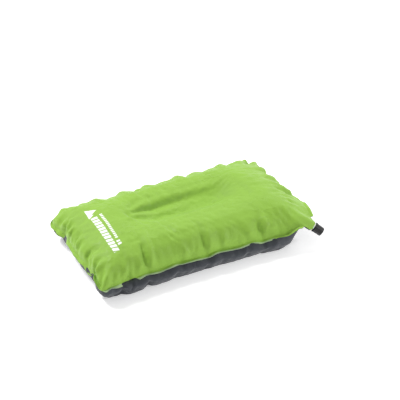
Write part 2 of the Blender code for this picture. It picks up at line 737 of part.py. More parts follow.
def make_knob():
    """The twist knob: round rim, tapered eight-sided grip, stepped bore."""
    bm = bmesh.new()
    grip_foot = KNOB_FOOT + RIM_LENGTH / 2
    grip_length = KNOB_TOP - grip_foot
    bmesh.ops.create_cone(
        bm, cap_ends=True, segments=GRIP_SIDES, radius1=GRIP_FOOT_RADIUS, radius2=GRIP_TIP_RADIUS,
        depth=grip_length, matrix=Matrix.Translation((0, 0, grip_foot + grip_length / 2)),
    )
    knob = add_object("valve_knob", mesh_from(bm, "valve_knob"), "black_abs", VALVE)
    bevel = knob.modifiers.new("rounded_edges", "BEVEL")
    bevel.width = EDGE_ROUND
    bevel.segments = 3
    bevel.limit_method = "ANGLE"
    bevel.angle_limit = math.radians(30)
    soft = 0.6 * MM
    rim = turned(
        "rim_form",
        [
            (0.0, KNOB_FOOT + RIM_LENGTH),
            (0.0, KNOB_FOOT),
            (RIM_RADIUS - soft, KNOB_FOOT),
            (RIM_RADIUS, KNOB_FOOT + soft),
            (RIM_RADIUS, KNOB_FOOT + RIM_LENGTH - soft),
            (RIM_RADIUS - soft, KNOB_FOOT + RIM_LENGTH),
        ],
        parent=VALVE, cutter=True,
    )
    seal_pocket = SEAL_RADIUS + SEAL_SECTION + RUNNING_GAP
    stop_pocket = STOP_OUTER + TOUCH_GAP
    past = 2 * MM
    bore = turned(
        "knob_bore",
        [
            (0.0, KNOB_TOP + past),
            (0.0, KNOB_FOOT - past),
            (SKIRT_RADIUS, KNOB_FOOT - past),
            (SKIRT_RADIUS, SKIRT_TOP),
            (PASS_RADIUS, SKIRT_TOP),
            (PASS_RADIUS, SEAL_HEIGHT - SEAL_POCKET / 2),
            (seal_pocket, SEAL_HEIGHT - SEAL_POCKET / 2),
            (seal_pocket, SEAL_HEIGHT + SEAL_POCKET / 2),
            (PASS_RADIUS, SEAL_HEIGHT + SEAL_POCKET / 2),
            (PASS_RADIUS, STOP_POCKET_FOOT),
            (stop_pocket, STOP_POCKET_FOOT),
            (stop_pocket, STOP_POCKET_TOP),
            (PASS_RADIUS, STOP_POCKET_TOP),
            (PASS_RADIUS, KNOB_THREAD_FOOT),
            (MINOR_RADIUS, KNOB_THREAD_FOOT),
            (MINOR_RADIUS, THROAT_FOOT - 1.6 * MM),
            (THROAT_RADIUS, THROAT_FOOT),
            (THROAT_RADIUS, KNOB_TOP - MOUTH_DEPTH),
            (MOUTH_RADIUS, KNOB_TOP),
            (MOUTH_RADIUS, KNOB_TOP + past),
        ],
        parent=VALVE, cutter=True,
    )
    groove = make_thread(
        "groove_form", THREAD_CORE, THREAD_HEIGHT,
        KNOB_THREAD_FOOT - THREAD_LEAD / 4, STEM_TOP + THREAD_LEAD / 8, THREAD_CLEARANCE,
    )
    combine(knob, rim, "UNION")
    combine(knob, bore, "DIFFERENCE")
    combine(knob, groove, "DIFFERENCE")
    smooth(knob)


PARTS, CUTTERS = start_scene()
MATERIALS = make_materials()
VALVE = bpy.data.objects.new("valve_axis", None)
PARTS.objects.link(VALVE)
VALVE.matrix_world = valve_matrix()
make_skin("top_skin", 1, "lime_polyester")
make_skin("bottom_skin", -1, "grey_polyester")
make_foam()
make_base()
make_stem()
make_rings()
make_knob()
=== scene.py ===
"""Camp pillow: a welded two-tone fabric envelope blown up over its foam core.

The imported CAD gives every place, size and broad form. A cloth simulation blows
up the two welded skins, and only its small puckers are kept and strengthened.
The larger folds, the sagging weld and the fuller lower skin are drawn.
"""

import json
import math

import bpy
import numpy as np
from bpy.props import FloatProperty, FloatVectorProperty, IntProperty, PointerProperty
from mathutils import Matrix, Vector
from mathutils.bvhtree import BVHTree

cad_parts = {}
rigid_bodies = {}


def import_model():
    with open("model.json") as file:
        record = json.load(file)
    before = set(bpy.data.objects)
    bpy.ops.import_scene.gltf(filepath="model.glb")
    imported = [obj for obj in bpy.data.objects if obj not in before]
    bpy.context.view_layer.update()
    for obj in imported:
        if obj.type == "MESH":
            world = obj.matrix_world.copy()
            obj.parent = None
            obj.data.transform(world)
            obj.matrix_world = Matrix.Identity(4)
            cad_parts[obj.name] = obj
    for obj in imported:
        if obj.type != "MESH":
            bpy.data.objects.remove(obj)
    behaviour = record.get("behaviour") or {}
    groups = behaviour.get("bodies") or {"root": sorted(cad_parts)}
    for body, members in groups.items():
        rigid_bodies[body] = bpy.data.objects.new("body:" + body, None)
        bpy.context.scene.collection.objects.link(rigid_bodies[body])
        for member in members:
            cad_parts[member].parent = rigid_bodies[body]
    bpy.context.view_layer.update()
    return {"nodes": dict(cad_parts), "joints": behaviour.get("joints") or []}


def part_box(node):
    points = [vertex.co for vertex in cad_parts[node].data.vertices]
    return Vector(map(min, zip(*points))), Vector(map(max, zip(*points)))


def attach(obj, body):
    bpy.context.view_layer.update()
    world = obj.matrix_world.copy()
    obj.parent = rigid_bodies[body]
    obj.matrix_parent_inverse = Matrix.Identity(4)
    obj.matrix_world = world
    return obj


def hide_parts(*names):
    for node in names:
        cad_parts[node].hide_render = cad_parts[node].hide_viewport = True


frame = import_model()

bl_info = {
    "name": "Camp Pillow Looks",
    "version": (1, 0, 0),
    "blender": (4, 5, 0),
    "location": "3D View > Sidebar > Camp Pillow",
    "description": "Builds a self-inflating camp pillow's fabric, foam and valve round its CAD frame",
    "category": "Object",
}

MM = 0.001
# The neck's corner: where the cut starts to run out, and the valve's opening.
CORNER_START = (165 * MM, 60 * MM)
OPEN_SHARE = 0.02
LAYING_TURNS = 5
STRIP_SHARES = (0.5, 1.0)
# How hard the crown, the valley, the lower skin and the weld are held as they settle.
CROWN_HOLD = 0.06
VALLEY_HOLD = 0.5
LOWER_HOLD = 0.6
WELD_HOLD = 0.02
CLOTH_SEED = 7
ROUGHENING = 0.25 * MM
RIPPLE = 0.7 * MM
RIPPLE_LENGTHS = (17, 23, 31, 44, 62)
RIPPLE_FADE = 32 * MM
CLOTH_SETTINGS = {
    "quality": 6,
    "mass": 0.0008,
    "air_damping": 2.0,
    "tension_stiffness": 80,
    "compression_stiffness": 80,
    "shear_stiffness": 12,
    "bending_stiffness": 0.005,
    "tension_damping": 1,
    "compression_damping": 1,
    "shear_damping": 1,
    "bending_damping": 0.1,
    "use_pressure": True,
    "pin_stiffness": 2.0,
}
# The simulation's broad part is evened out and taken away, and the rest grows by the gain.
BROAD_TURNS = 90
PUCKER_GAIN = 2.6
MOST_MOVE = 17 * MM
FOLD_SEED = 11
SMALL_FOLDS = 58
# Where the near weld gathers, and how far it sags between those places.
GATHERS = (-236, -212, -186, -129, -62, 38, 107, 167, 222)
GATHER_SAG = 4.5 * MM
EDGE_TURNS = 3
WELD_SLOPE = 0.3
WELD_REACH = 18 * MM
BOTTOM_OUT = 15 * MM
BOTTOM_DOWN = 5 * MM
# Broad easings: x, y and reach of each, its shift, and whether it leaves the weld alone.
SLUMPS = (
    (192, 92, 50, (0, 0, -9.0), True),
    (216, 132, 34, (-3.0, -4.0, -9.0), False),
    (-240, 0, 70, (-4.5, 0, 0), False),
    (-232, -126, 46, (-7.0, -5.0, 0), False),
    (-238, 108, 26, (-6.0, 1.0, -5.0), False),
    (40, 126, 90, (0, -2.0, 0), False),
)
FOLD_GAIN = 2.3
# Folds drawn in from the weld: x, y and heading of each, then its length, width and depth.
FOLDS = (
    (-128, -124, 88, 74, 5.0, 4.2), (-63, -130, 100, 50, 6.0, 2.6), (8, -134, 97, 84, 5.0, 4.0),
    (39, -132, 90, 48, 4.0, 2.8), (108, -134, 125, 60, 5.0, 2.8), (165, -134, 145, 60, 4.5, 3.0),
    (-210, -136, 65, 40, 4.2, 4.4), (-188, -131, 82, 34, 3.8, 3.4), (-158, -127, 74, 30, 3.6, 2.4),
    (-233, -122, 50, 46, 4.5, 3.6), (-236, -84, 14, 42, 4.2, 3.6), (-235, -38, -8, 36, 4.6, 3.0),
    (-235, 12, 6, 34, 4.6, 3.2), (-236, 58, -16, 38, 4.2, 3.2), (-236, 98, -38, 44, 4.5, 4.0),
    (-190, 128, -72, 46, 6.0, 2.4), (-118, 127, -96, 60, 8.0, 3.4), (-66, 126, -82, 56, 8.0, 3.0),
    (-6, 126, -98, 52, 7.0, 3.2), (52, 127, -76, 64, 8.0, 3.6), (104, 128, -100, 58, 7.0, 3.4),
    (158, 127, -84, 54, 7.0, 3.0), (214, 112, -130, 46, 5.0, 3.2), (240, 52, -168, 52, 5.0, 3.0),
    (246, 4, 172, 62, 5.0, 2.8), (250, -44, 160, 66, 5.5, 3.2), (222, -131, 118, 40, 5.0, 3.6),
    (-92, 19, 4, 235, 6.5, 2.8), (-110, 12, -62, 70, 5.0, 1.6),
    (-112, 4, -18, 72, 4.5, 1.3), (-98, 34, 28, 60, 6.0, 1.5),
)
FLOOR_CLEARANCE = 0.7 * MM
FOAM_CLEARANCE = 1.4 * MM
SEAM_LEVEL = 43 * MM
CUT_SPAN = 0.6
MARK_PLACE = (-0.178, 0.032)
MARK_SCALE = 1 / 1.2
FOAM_VOXEL = 4 * MM
FLOOR_CORNERS = [(-8, -8, 0), (8, -8, 0), (8, 8, 0), (-8, 8, 0)]
FLOOR_GLOW = 0.36
WORLD_STRENGTH = 0.50
LIGHTS = (
    ("key", (-1.15, 1.5, 2.4), (0.0, 0.0, 0.05), 0.9, 78.0),
    ("rim", (1.7, 1.2, 1.3), (0.15, 0.0, 0.05), 0.8, 16.0),
    ("graze", (2.3, -1.5, 1.1), (0.0, 0.0, 0.05), 0.5, 32.0),
)
LENS = 500
SENSOR = 36
VIEW_AZIMUTH = -25.4
VIEW_ELEVATION = 37.6
# Metres: the picture's width at the pillow, and the aim beside and above its origin.
VIEW_SPAN = 0.8316
VIEW_ASIDE = 0.04262
VIEW_RISE = 0.08171
VALVE_JOINT = next(j for j in frame["joints"] if j["name"] == "knob_twist")
VALVE_TIP = Vector(VALVE_JOINT["pos_m"])
VALVE_OUT = Vector(VALVE_JOINT["axis"]).normalized()


# ------------------------------------------------------------------- settings


class CampPillowSizes(bpy.types.PropertyGroup):
    """Sizes that shape the cloth, the foam and the weave."""

    weld_margin: FloatProperty(
        name="Weld margin", description="Flat welded strip outside the air chamber",
        default=7 * MM, unit="LENGTH",
    )
    cloth_thickness: FloatProperty(
        name="Cloth thickness", description="Thickness of one coated skin",
        default=0.6 * MM, unit="LENGTH",
    )
    flat_length: FloatProperty(
        name="Flat length", description="Length of a skin as cut, before it is inflated",
        default=560 * MM, unit="LENGTH",
    )
    flat_width: FloatProperty(
        name="Flat width", description="Width of a skin as cut, before it is inflated",
        default=340 * MM, unit="LENGTH",
    )
    cloth_columns: IntProperty(
        name="Columns", description="Squares of cloth along the pillow", default=120,
    )
    cloth_rows: IntProperty(
        name="Rows", description="Squares of cloth across the pillow", default=70,
    )
    air_pressure: FloatProperty(
        name="Air pressure", description="Pressure that blows the skins out", default=150.0,
    )
    settle_frames: IntProperty(
        name="Settling steps", description="Steps that the cloth is given to settle", default=24,
    )
    foam_cell: FloatProperty(
        name="Foam cell", description="Width of one open cell of the foam",
        default=1.1 * MM, unit="LENGTH",
    )


# ------------------------------------------------------------ reading the CAD


def surface_tree(node):
    """A search tree over a CAD node's surface."""
    mesh = frame["nodes"][node].data
    return BVHTree.FromPolygons(
        [vertex.co for vertex in mesh.vertices],
        [tuple(face.vertices) for face in mesh.polygons],
    )


def plan_outline(node, count=900):
    """The node's outline from above: its furthest reach at evenly spaced bearings."""
    mesh = frame["nodes"][node].data
    points = np.array([vertex.co[:2] for vertex in mesh.vertices])
    edges = np.array([edge.vertices for edge in mesh.edges])
    start, along = points[edges[:, 0]], points[edges[:, 1]] - points[edges[:, 0]]
    outline = []
    for bearing in np.arange(count) * math.tau / count:
        ray = np.array((math.cos(bearing), math.sin(bearing)))
        cross = ray[0] * along[:, 1] - ray[1] * along[:, 0]
        safe = np.where(np.abs(cross) < 1e-12, 1e-12, cross)
        share = -(ray[0] * start[:, 1] - ray[1] * start[:, 0]) / safe
        reach = (start[:, 0] * along[:, 1] - start[:, 1] * along[:, 0]) / safe
        hits = reach[(share >= -1e-6) & (share <= 1 + 1e-6) & (reach > 0)]
        outline.append(ray * hits.max())
    return np.array(outline)


def inward(outline, distance):
    """The closed outline moved inwards by a distance."""
    along = np.roll(outline, -1, axis=0) - np.roll(outline, 1, axis=0)
    along /= np.linalg.norm(along, axis=1, keepdims=True)
    return outline + distance * np.stack([-along[:, 1], along[:, 0]], axis=1)


def resampled(line, count):
    """count + 1 points evenly spaced along an open line."""
    steps = np.linalg.norm(np.diff(line, axis=0), axis=1)
    at = np.concatenate([[0.0], np.cumsum(steps)])
    wanted = np.linspace(0.0, at[-1], count + 1)
    return np.stack([np.interp(wanted, at, line[:, k]) for k in range(line.shape[1])], axis=1)


def four_sides(outline, columns, rows, corners):
    """The closed outline as its near, right, far and left sides, each from low to high X or Y."""
    found = [int(np.argmin(np.linalg.norm(outline - corner, axis=1))) for corner in corners]
    near_left, near_right, far_right, far_left = found
    count = len(outline)

    def stretch(first, last):
        span = (last - first) % count
        return outline[(first + np.arange(span + 1)) % count]

    near = resampled(stretch(near_left, near_right), columns)
    right = resampled(stretch(near_right, far_right), rows)
    far = resampled(stretch(far_right, far_left), columns)[::-1]
    left = resampled(stretch(far_left, near_left), rows)[::-1]
    return near, right, far, left


def coons(sides, u, v):
    """The point at shares u across and v up of the patch that four sides bound."""
    near, right, far, left = sides

    def at(side, share):
        place = share * (len(side) - 1)
        low = np.clip(np.floor(place).astype(int), 0, len(side) - 2)
        part = (place - low)[..., None]
        return side[low] * (1 - part) + side[low + 1] * part

    u_, v_ = u[..., None], v[..., None]
    ruled = at(near, u) * (1 - v_) + at(far, u) * v_ + at(left, v) * (1 - u_) + at(right, v) * u_
    corner = (
        near[0] * (1 - u_) * (1 - v_) + near[-1] * u_ * (1 - v_)
        + far[0] * (1 - u_) * v_ + far[-1] * u_ * v_
    )
    return ruled - corner


# ----------------------------------------------------------- cutting the cloth


def smoothstep(low, high, value):
    """A share that eases from 0 at low to 1 at high."""
    share = np.clip((value - low) / (high - low), 0.0, 1.0)
    return share * share * (3 - 2 * share)


class Cloth:
    """The welded skins as one net: where each point starts, and where it lay when cut."""

    def __init__(self, sizes):
        self.columns, self.rows = sizes.cloth_columns, sizes.cloth_rows
        self.margin = sizes.weld_margin
        self.trees = {1: surface_tree("top_skin"), -1: surface_tree("bottom_skin")}
        low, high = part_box("top_skin")
        self.crown = high.z
        self.corners = [(low.x, low.y), VALVE_TIP[:2], (high.x, high.y), (low.x, high.y)]
        self.cut_edge = plan_outline("top_skin")
        heading = np.array(VALVE_OUT[:2]) / Vector(VALVE_OUT[:2]).length
        away = self.cut_edge - np.array(VALVE_TIP[:2])
        across = np.abs(heading[0] * away[:, 1] - heading[1] * away[:, 0])
        self.heading = heading
        at_end = smoothstep(-8 * MM, -4 * MM, away @ heading)
        self.open_end = at_end * (1 - smoothstep(15.5 * MM, 19 * MM, across))
        self.weld_line = inward(self.cut_edge, self.margin * (1 - self.open_end)[:, None])
        self.sides = four_sides(self.weld_line, self.columns, self.rows, self.corners)
        self.rest_sides = self.flat_sides(sizes)
        self.make_net()

    def flat_sides(self, sizes):
        """The weld line as cut: straight sides, and the corner that runs out to the valve."""
        near, right, far, left = (side.copy() for side in self.sides)
        half_x = sizes.flat_length / 2 - self.margin
        half_y = sizes.flat_width / 2 - self.margin
        stretch_x = half_x / -left[len(left) // 2, 0]
        stretch_y = half_y / far[len(far) // 2, 1]
        start_x, start_y = CORNER_START
        near_run = np.interp(start_x, near[:, 0], near[:, 1])
        right_run = np.interp(start_y, right[:, 1], right[:, 0])
        near[:, 1] = -half_y + np.where(near[:, 0] > start_x, near[:, 1] - near_run, 0.0)
        near[:, 0] *= stretch_x
        right[:, 0] = half_x + np.where(right[:, 1] < start_y, right[:, 0] - right_run, 0.0)
        right[:, 1] *= stretch_y
        far = np.stack([far[:, 0] * stretch_x, np.full(len(far), half_y)], axis=1)
        left = np.stack([np.full(len(left), -half_x), left[:, 1] * stretch_y], axis=1)
        corners = (
            (near, 0, left, 0), (near, -1, right, 0), (far, -1, right, -1), (far, 0, left, -1),
        )
        for first, i, second, j in corners:
            meet = (first[i] + second[j]) / 2
            for side, end in ((first, i), (second, j)):
                ramp = np.linspace(0, 1, len(side))
                ramp = ramp if end == -1 else ramp[::-1]
                side += (meet - side[end]) * ramp[:, None] ** 3
        return near, right, far, left

    def height(self, plan, side):
        """The CAD skin's outer face at points in plan, seen from above or below."""
        tree, found = self.trees[side], np.full(len(plan), np.nan)
        for i, (x, y) in enumerate(plan):
            hit = tree.ray_cast(Vector((x, y, 0.5 * side)), Vector((0, 0, -side)))
            if hit[0] is None:
                hit = tree.find_nearest(Vector((x, y, VALVE_TIP.z)))
            found[i] = hit[0].z
        return found

    def even_shares(self):
        """Shares across and up, at each point of an even grid."""
        across, up = np.linspace(0, 1, self.columns + 1), np.linspace(0, 1, self.rows + 1)
        return np.meshgrid(across, up, indexing="ij")

    def laid(self, side):
        """Grid of start points on one skin, spaced evenly over its curved face."""
        u, v = self.even_shares()
        for turn in range(LAYING_TURNS):
            plan = coons(self.sides, u, v)
            z = self.height(plan.reshape(-1, 2), side).reshape(u.shape)
            points = np.concatenate([plan, z[..., None]], axis=2)
            if turn == LAYING_TURNS - 1:
                return points
            axis, share = (0, u) if turn % 2 == 0 else (1, v)
            steps = np.linalg.norm(np.diff(points, axis=axis), axis=2)
            run = np.cumsum(steps, axis=axis)
            run = np.concatenate([np.zeros_like(run.take([0], axis=axis)), run], axis=axis)
            for k in range(share.shape[1 - axis]):
                line = (slice(None), k) if axis == 0 else (k, slice(None))
                even = np.linspace(0, run[line][-1], share.shape[axis])
                share[line] = np.interp(even, run[line], share[line])

    def make_net(self):
        """Number the points of both skins and of the welded strip, and list the squares."""
        columns, rows = self.columns, self.rows
        flat = coons(self.rest_sides, *self.even_shares())
        rim = [(i, 0) for i in range(columns)] + [(columns, j) for j in range(rows)]
        rim += [(i, rows) for i in range(columns, 0, -1)] + [(0, j) for j in range(rows, 0, -1)]
        rim_i, rim_j = np.array(rim).T
        top, bottom = self.laid(1), self.laid(-1)
        rim_plan = top[rim_i, rim_j, :2]
        nearest = ((rim_plan[:, None] - self.weld_line[None]) ** 2).sum(2).argmin(1)
        welded = self.open_end[nearest] < OPEN_SHARE
        middle = (top[rim_i, rim_j, 2] + bottom[rim_i, rim_j, 2]) / 2
        top[rim_i[welded], rim_j[welded], 2] = middle[welded]
        bottom[rim_i[welded], rim_j[welded]] = top[rim_i[welded], rim_j[welded]]
        count = (columns + 1) * (rows + 1)
        top_index = np.arange(count).reshape(columns + 1, rows + 1)
        bottom_index = np.full_like(top_index, -1)
        bottom_index[rim_i[welded], rim_j[welded]] = top_index[rim_i[welded], rim_j[welded]]
        free = bottom_index < 0
        bottom_index[free] = count + np.arange(free.sum())
        start = [top.reshape(-1, 3), bottom[free]]
        cut = [flat.reshape(-1, 2), flat[free]]
        total = count + int(free.sum())
        rings = [top_index[rim_i, rim_j]]
        outward = self.cut_edge[nearest] - rim_plan
        size = np.linalg.norm(outward, axis=1, keepdims=True)
        rest_rim = flat[rim_i, rim_j]
        rest_along = np.roll(rest_rim, -1, axis=0) - np.roll(rest_rim, 1, axis=0)
        rest_out = np.stack([rest_along[:, 1], -rest_along[:, 0]], axis=1)
        rest_out /= np.linalg.norm(rest_out, axis=1, keepdims=True)
        for share in STRIP_SHARES:
            start.append(np.concatenate([rim_plan + outward * share, middle[:, None]], axis=1))
            cut.append(rest_rim + rest_out * size * share)
            rings.append(total + np.arange(len(rim)))
            total += len(rim)
        self.start, self.cut = np.concatenate(start), np.concatenate(cut)
        self.rings = rings
        self.top_index, self.bottom_index = top_index, bottom_index

        def squares(index):
            corners = (index[:-1, :-1], index[1:, :-1], index[1:, 1:], index[:-1, 1:])
            return np.stack(corners, axis=2).reshape(-1, 4)

        self.top_faces = squares(top_index)
        self.bottom_faces = squares(bottom_index)[:, ::-1]
        strip = []
        for inner, outer in zip(rings, rings[1:]):
            for i in range(len(rim)):
                after = (i + 1) % len(rim)
                if welded[i] and welded[after]:
                    strip.append((outer[i], outer[after], inner[after], inner[i]))
        self.strip_faces = np.array(strip)

    def on_bottom(self):
        """Which points belong to the lower skin alone."""
        lower = np.zeros(len(self.start), bool)
        lower[self.bottom_index.ravel()] = True
        lower[self.rings[0]] = False
        return lower

    def from_weld(self):
        """How far each point starts in from the weld, in plan, and round it."""
        plan = self.start[:, :2]
        found, nearest = np.full(len(plan), 1.0), np.zeros(len(plan), int)
        for i, place in enumerate(self.weld_line):
            away = np.hypot(*(plan - place).T)
            closer = away < found
            found[closer], nearest[closer] = away[closer], i
        steps = np.linalg.norm(np.roll(self.weld_line, -1, axis=0) - self.weld_line, axis=1)
        return found, np.concatenate([[0.0], np.cumsum(steps)])[nearest]

    def from_valve(self):
        """How far back from the neck's end each point starts, along the valve's heading."""
        return -(self.start[:, :2] - np.array(VALVE_TIP[:2])) @ self.heading


def mesh_of(name, points, faces):
    mesh = bpy.data.meshes.new(name)
    corners = [tuple(map(int, face)) for face in faces]
    mesh.from_pydata([tuple(point) for point in points], [], corners)
    mesh.update()
    return mesh


def linked(name, mesh):
    obj = bpy.data.objects.new(name, mesh)
    bpy.context.scene.collection.objects.link(obj)
    return obj


def point_group(obj, name, weights):
    group = obj.vertex_groups.new(name=name)
    for i, weight in enumerate(weights):
        if weight > 0.0:
            group.add([i], float(weight), "REPLACE")
    return name


def inflate(cloth, sizes):
    """Settle the welded skins under pressure, from the CAD's form, with the cut as rest."""
    rng = np.random.default_rng(CLOTH_SEED)
    count = len(cloth.start)
    depth, round_weld = cloth.from_weld()
    back = cloth.from_valve()
    is_bottom = cloth.on_bottom()
    in_strip = np.zeros(count, bool)
    in_strip[np.concatenate(cloth.rings[1:])] = True
    dip = cloth.crown - cloth.start[:, 2]
    valley = smoothstep(4 * MM, 20 * MM, dip) * smoothstep(66 * MM, 84 * MM, depth)
    valley *= 1 - smoothstep(95 * MM, 135 * MM, np.abs(cloth.start[:, 0] - 14 * MM))
    on_top = CROWN_HOLD * smoothstep(30 * MM, 75 * MM, depth) + VALLEY_HOLD * valley
    below = LOWER_HOLD * smoothstep(12 * MM, 36 * MM, depth)
    hold = np.where(is_bottom, below, on_top)
    hold[cloth.rings[0]] = WELD_HOLD
    hold[in_strip] = 0.0
    neck = 1 - smoothstep(26 * MM, 58 * MM, back)
    hold = np.maximum(hold, neck)
    start = cloth.start.copy()
    start[:, 2] += rng.normal(0, ROUGHENING, count) * (1 - neck) * ~is_bottom
    ripple = np.zeros(count)
    for length in RIPPLE_LENGTHS:
        wave = np.sin(math.tau * (round_weld / (length * MM) + rng.random()))
        ripple += wave * rng.uniform(0.5, 1.0)
    ripple *= RIPPLE * np.exp(-depth / RIPPLE_FADE) * (1 - neck)
    start[:, 2] += ripple * np.where(is_bottom, 0.5, 1.0)
    faces = np.concatenate([cloth.top_faces, cloth.bottom_faces, cloth.strip_faces])
    form = linked("cloth_form", mesh_of("cloth_form", start, faces))
    form.shape_key_add(name="Basis")
    flat_key = form.shape_key_add(name="as_cut")
    flat = np.concatenate([cloth.cut, np.zeros((count, 1))], axis=1)
    flat_key.data.foreach_set("co", flat.astype(np.float32).ravel())
    modifier = form.modifiers.new("inflating", "CLOTH")
    settings = modifier.settings
    for name, value in CLOTH_SETTINGS.items():
        setattr(settings, name, value)
    settings.uniform_pressure_force = sizes.air_pressure
    settings.vertex_group_mass = point_group(form, "held", hold)
    settings.vertex_group_pressure = point_group(form, "blown", ~in_strip)
    settings.rest_shape_key = flat_key
    settings.effector_weights.gravity = 0.0
    modifier.collision_settings.use_collision = False
    modifier.collision_settings.use_self_collision = False
    modifier.point_cache.frame_start = 1
    modifier.point_cache.frame_end = sizes.settle_frames
    scene = bpy.context.scene
    for step in range(1, sizes.settle_frames + 1):
        scene.frame_set(step)
    shown = form.evaluated_get(bpy.context.evaluated_depsgraph_get()).to_mesh()
    settled = np.empty(count * 3, np.float32)
    shown.vertices.foreach_get("co", settled)
    settled = settled.reshape(-1, 3).astype(float)
    scene.frame_set(1)
    bpy.data.objects.remove(form, do_unlink=True)
    return settled


def spread_out(field, edges, turns):
    """The field evened out along the net's edges, which leaves only its broad part."""
    count = len(field)
    ends = np.concatenate([edges, edges[:, ::-1]])
    share = 1.0 / np.maximum(np.bincount(ends[:, 0], minlength=count), 1)[:, None]
    for _ in range(turns):
        sums = [np.bincount(ends[:, 0], field[ends[:, 1], k], count) for k in range(3)]
        near = np.stack(sums, axis=1)
        field = (field + near * share) / 2
    return field


def net_edges(cloth):
    faces = np.concatenate([cloth.top_faces, cloth.bottom_faces, cloth.strip_faces])
    edges = np.concatenate([faces[:, [k, (k + 1) % 4]] for k in range(4)])
    return np.unique(np.sort(edges, axis=1), axis=0)


def outward_normals(cloth, points):
    """Normals of the whole net, with both skins' shares added up at the weld."""
    normals = np.zeros_like(points)
    for faces in (cloth.top_faces, cloth.bottom_faces):
        across = points[faces[:, 2]] - points[faces[:, 0]]
        along = points[faces[:, 3]] - points[faces[:, 1]]
        for k in range(4):
            np.add.at(normals, faces[:, k], np.cross(across, along))
    for ring in cloth.rings[1:]:
        normals[ring] = normals[cloth.rings[0]]
    return normals / np.maximum(np.linalg.norm(normals, axis=1, keepdims=True), 1e-12)


def fold_depth(cloth):
    """How far each point is drawn in by the folds, and pushed out by their lips."""
    depth, _ = cloth.from_weld()
    plan = cloth.start[:, :2] / MM
    is_bottom = cloth.on_bottom()
    rng = np.random.default_rng(FOLD_SEED)
    rim = cloth.start[cloth.rings[0], :2] / MM
    folds = [(*fold, 1) for fold in FOLDS]
    for k in rng.choice(len(rim), SMALL_FOLDS, replace=False):
        toward = np.degrees(np.arctan2(*(-rim[k] * (0.3, 1.0))[::-1])) + rng.normal(0, 14)
        size = (rng.uniform(14, 42), rng.uniform(3.0, 6.0), rng.uniform(0.7, 2.0))
        folds.append((*rim[k], toward, *size, rng.choice((-1, 1))))
    drawn = np.zeros(len(plan))
    lip_share = 0.85 * smoothstep(0, 12 * MM, depth) * ~is_bottom
    weld_share = 0.32 + 0.68 * smoothstep(0, 11 * MM, depth)
    for x, y, toward, length, width, deep, lean in folds:
        way = np.array((math.cos(math.radians(toward)), math.sin(math.radians(toward))))
        away = plan - (x, y)
        along = away @ way
        bow = 0.06 * lean * along * along / length
        aside = (away[:, 0] * way[1] - away[:, 1] * way[0] - bow) * lean
        widening = width * (0.9 + 0.7 * np.clip(along / length, 0, 1))
        fade = (1 - smoothstep(0.15, 1.0, along / length)) * smoothstep(-14, -4, along)
        groove = np.exp(-np.abs(aside / widening) ** 1.2)
        lip = np.exp(-(((aside - 1.9 * widening) / (1.15 * widening)) ** 2)) * lip_share
        shorter_below = np.where(is_bottom, 0.9 * (1 - smoothstep(26, 40, along)), 1.0)
        drawn += FOLD_GAIN * deep * fade * (groove - lip) * shorter_below
    neck = 1 - smoothstep(30 * MM, 55 * MM, cloth.from_valve())
    return drawn * MM * weld_share * (1 - neck)


def fuller_bottom(cloth):
    """Moves that let the lower skin stand out and down to the floor, as a blown-up one does."""
    depth, _ = cloth.from_weld()
    lower = cloth.on_bottom() * smoothstep(30 * MM, 80 * MM, cloth.from_valve())
    lower *= 0.1 + 0.9 * smoothstep(-235 * MM, -150 * MM, cloth.start[:, 0])
    lower *= 1 - 0.5 * smoothstep(-60 * MM, 30 * MM, cloth.start[:, 1])
    below_seam = SEAM_LEVEL - cloth.start[:, 2]
    out = lower * smoothstep(0, 13 * MM, below_seam)
    out *= 1 - smoothstep(24 * MM, 64 * MM, depth)
    down = lower * smoothstep(4 * MM, 20 * MM, depth)
    down *= 1 - smoothstep(60 * MM, 100 * MM, depth)
    away = outward_normals(cloth, cloth.start) * (1, 1, 0)
    away /= np.maximum(np.linalg.norm(away, axis=1, keepdims=True), 0.35)
    moves = away * (BOTTOM_OUT * out)[:, None]
    moves[:, 2] -= BOTTOM_DOWN * down
    return moves


def slumps(cloth):
    """Broad easings of the blown shape: corners that sit out or droop."""
    depth, _ = cloth.from_weld()
    moves = np.zeros((len(depth), 3))
    for x, y, reach, shift, only_crown in SLUMPS:
        away = np.hypot(*(cloth.start[:, :2] / MM - (x, y)).T)
        share = np.exp(-((away / reach) ** 2))
        if only_crown:
            share *= smoothstep(0, 30 * MM, depth)
            share *= cloth.start[:, 2] > SEAM_LEVEL
        moves += share[:, None] * np.array(shift) * MM
    return moves


def scallops(cloth):
    """The near weld sags between the places where it gathers."""
    depth, _ = cloth.from_weld()
    nodes = np.array(GATHERS) * MM
    x, y = cloth.start[:, 0], cloth.start[:, 1]
    after = np.clip(np.searchsorted(nodes, x), 1, len(nodes) - 1)
    phase = np.clip((x - nodes[after - 1]) / (nodes[after] - nodes[after - 1]), 0, 1)
    sag = np.sin(math.pi * phase) * np.exp(-((depth / (18 * MM)) ** 2))
    sag *= smoothstep(-80 * MM, -105 * MM, y)
    neck = 1 - smoothstep(30 * MM, 60 * MM, cloth.from_valve())
    return np.outer(sag * (1 - neck), (0, 0, -GATHER_SAG))


def part_at_weld(cloth, points):
    """Keep the top above the weld and the bottom below it, close to the seam."""
    rim = cloth.rings[0]
    back = cloth.from_valve()
    for index, side in ((cloth.top_index, 1), (cloth.bottom_index, -1)):
        inner = np.setdiff1d(index.ravel(), rim)
        inner = inner[back[inner] > 60 * MM]
        apart = cloth.start[inner, None, :2] - cloth.start[None, rim, :2]
        away = np.linalg.norm(apart, axis=2)
        nearest = away.argmin(axis=1)
        rise = WELD_SLOPE * np.minimum(away.min(axis=1), WELD_REACH)
        level = points[rim[nearest], 2]
        points[inner, 2] = side * np.maximum(side * points[inner, 2], side * level + rise)


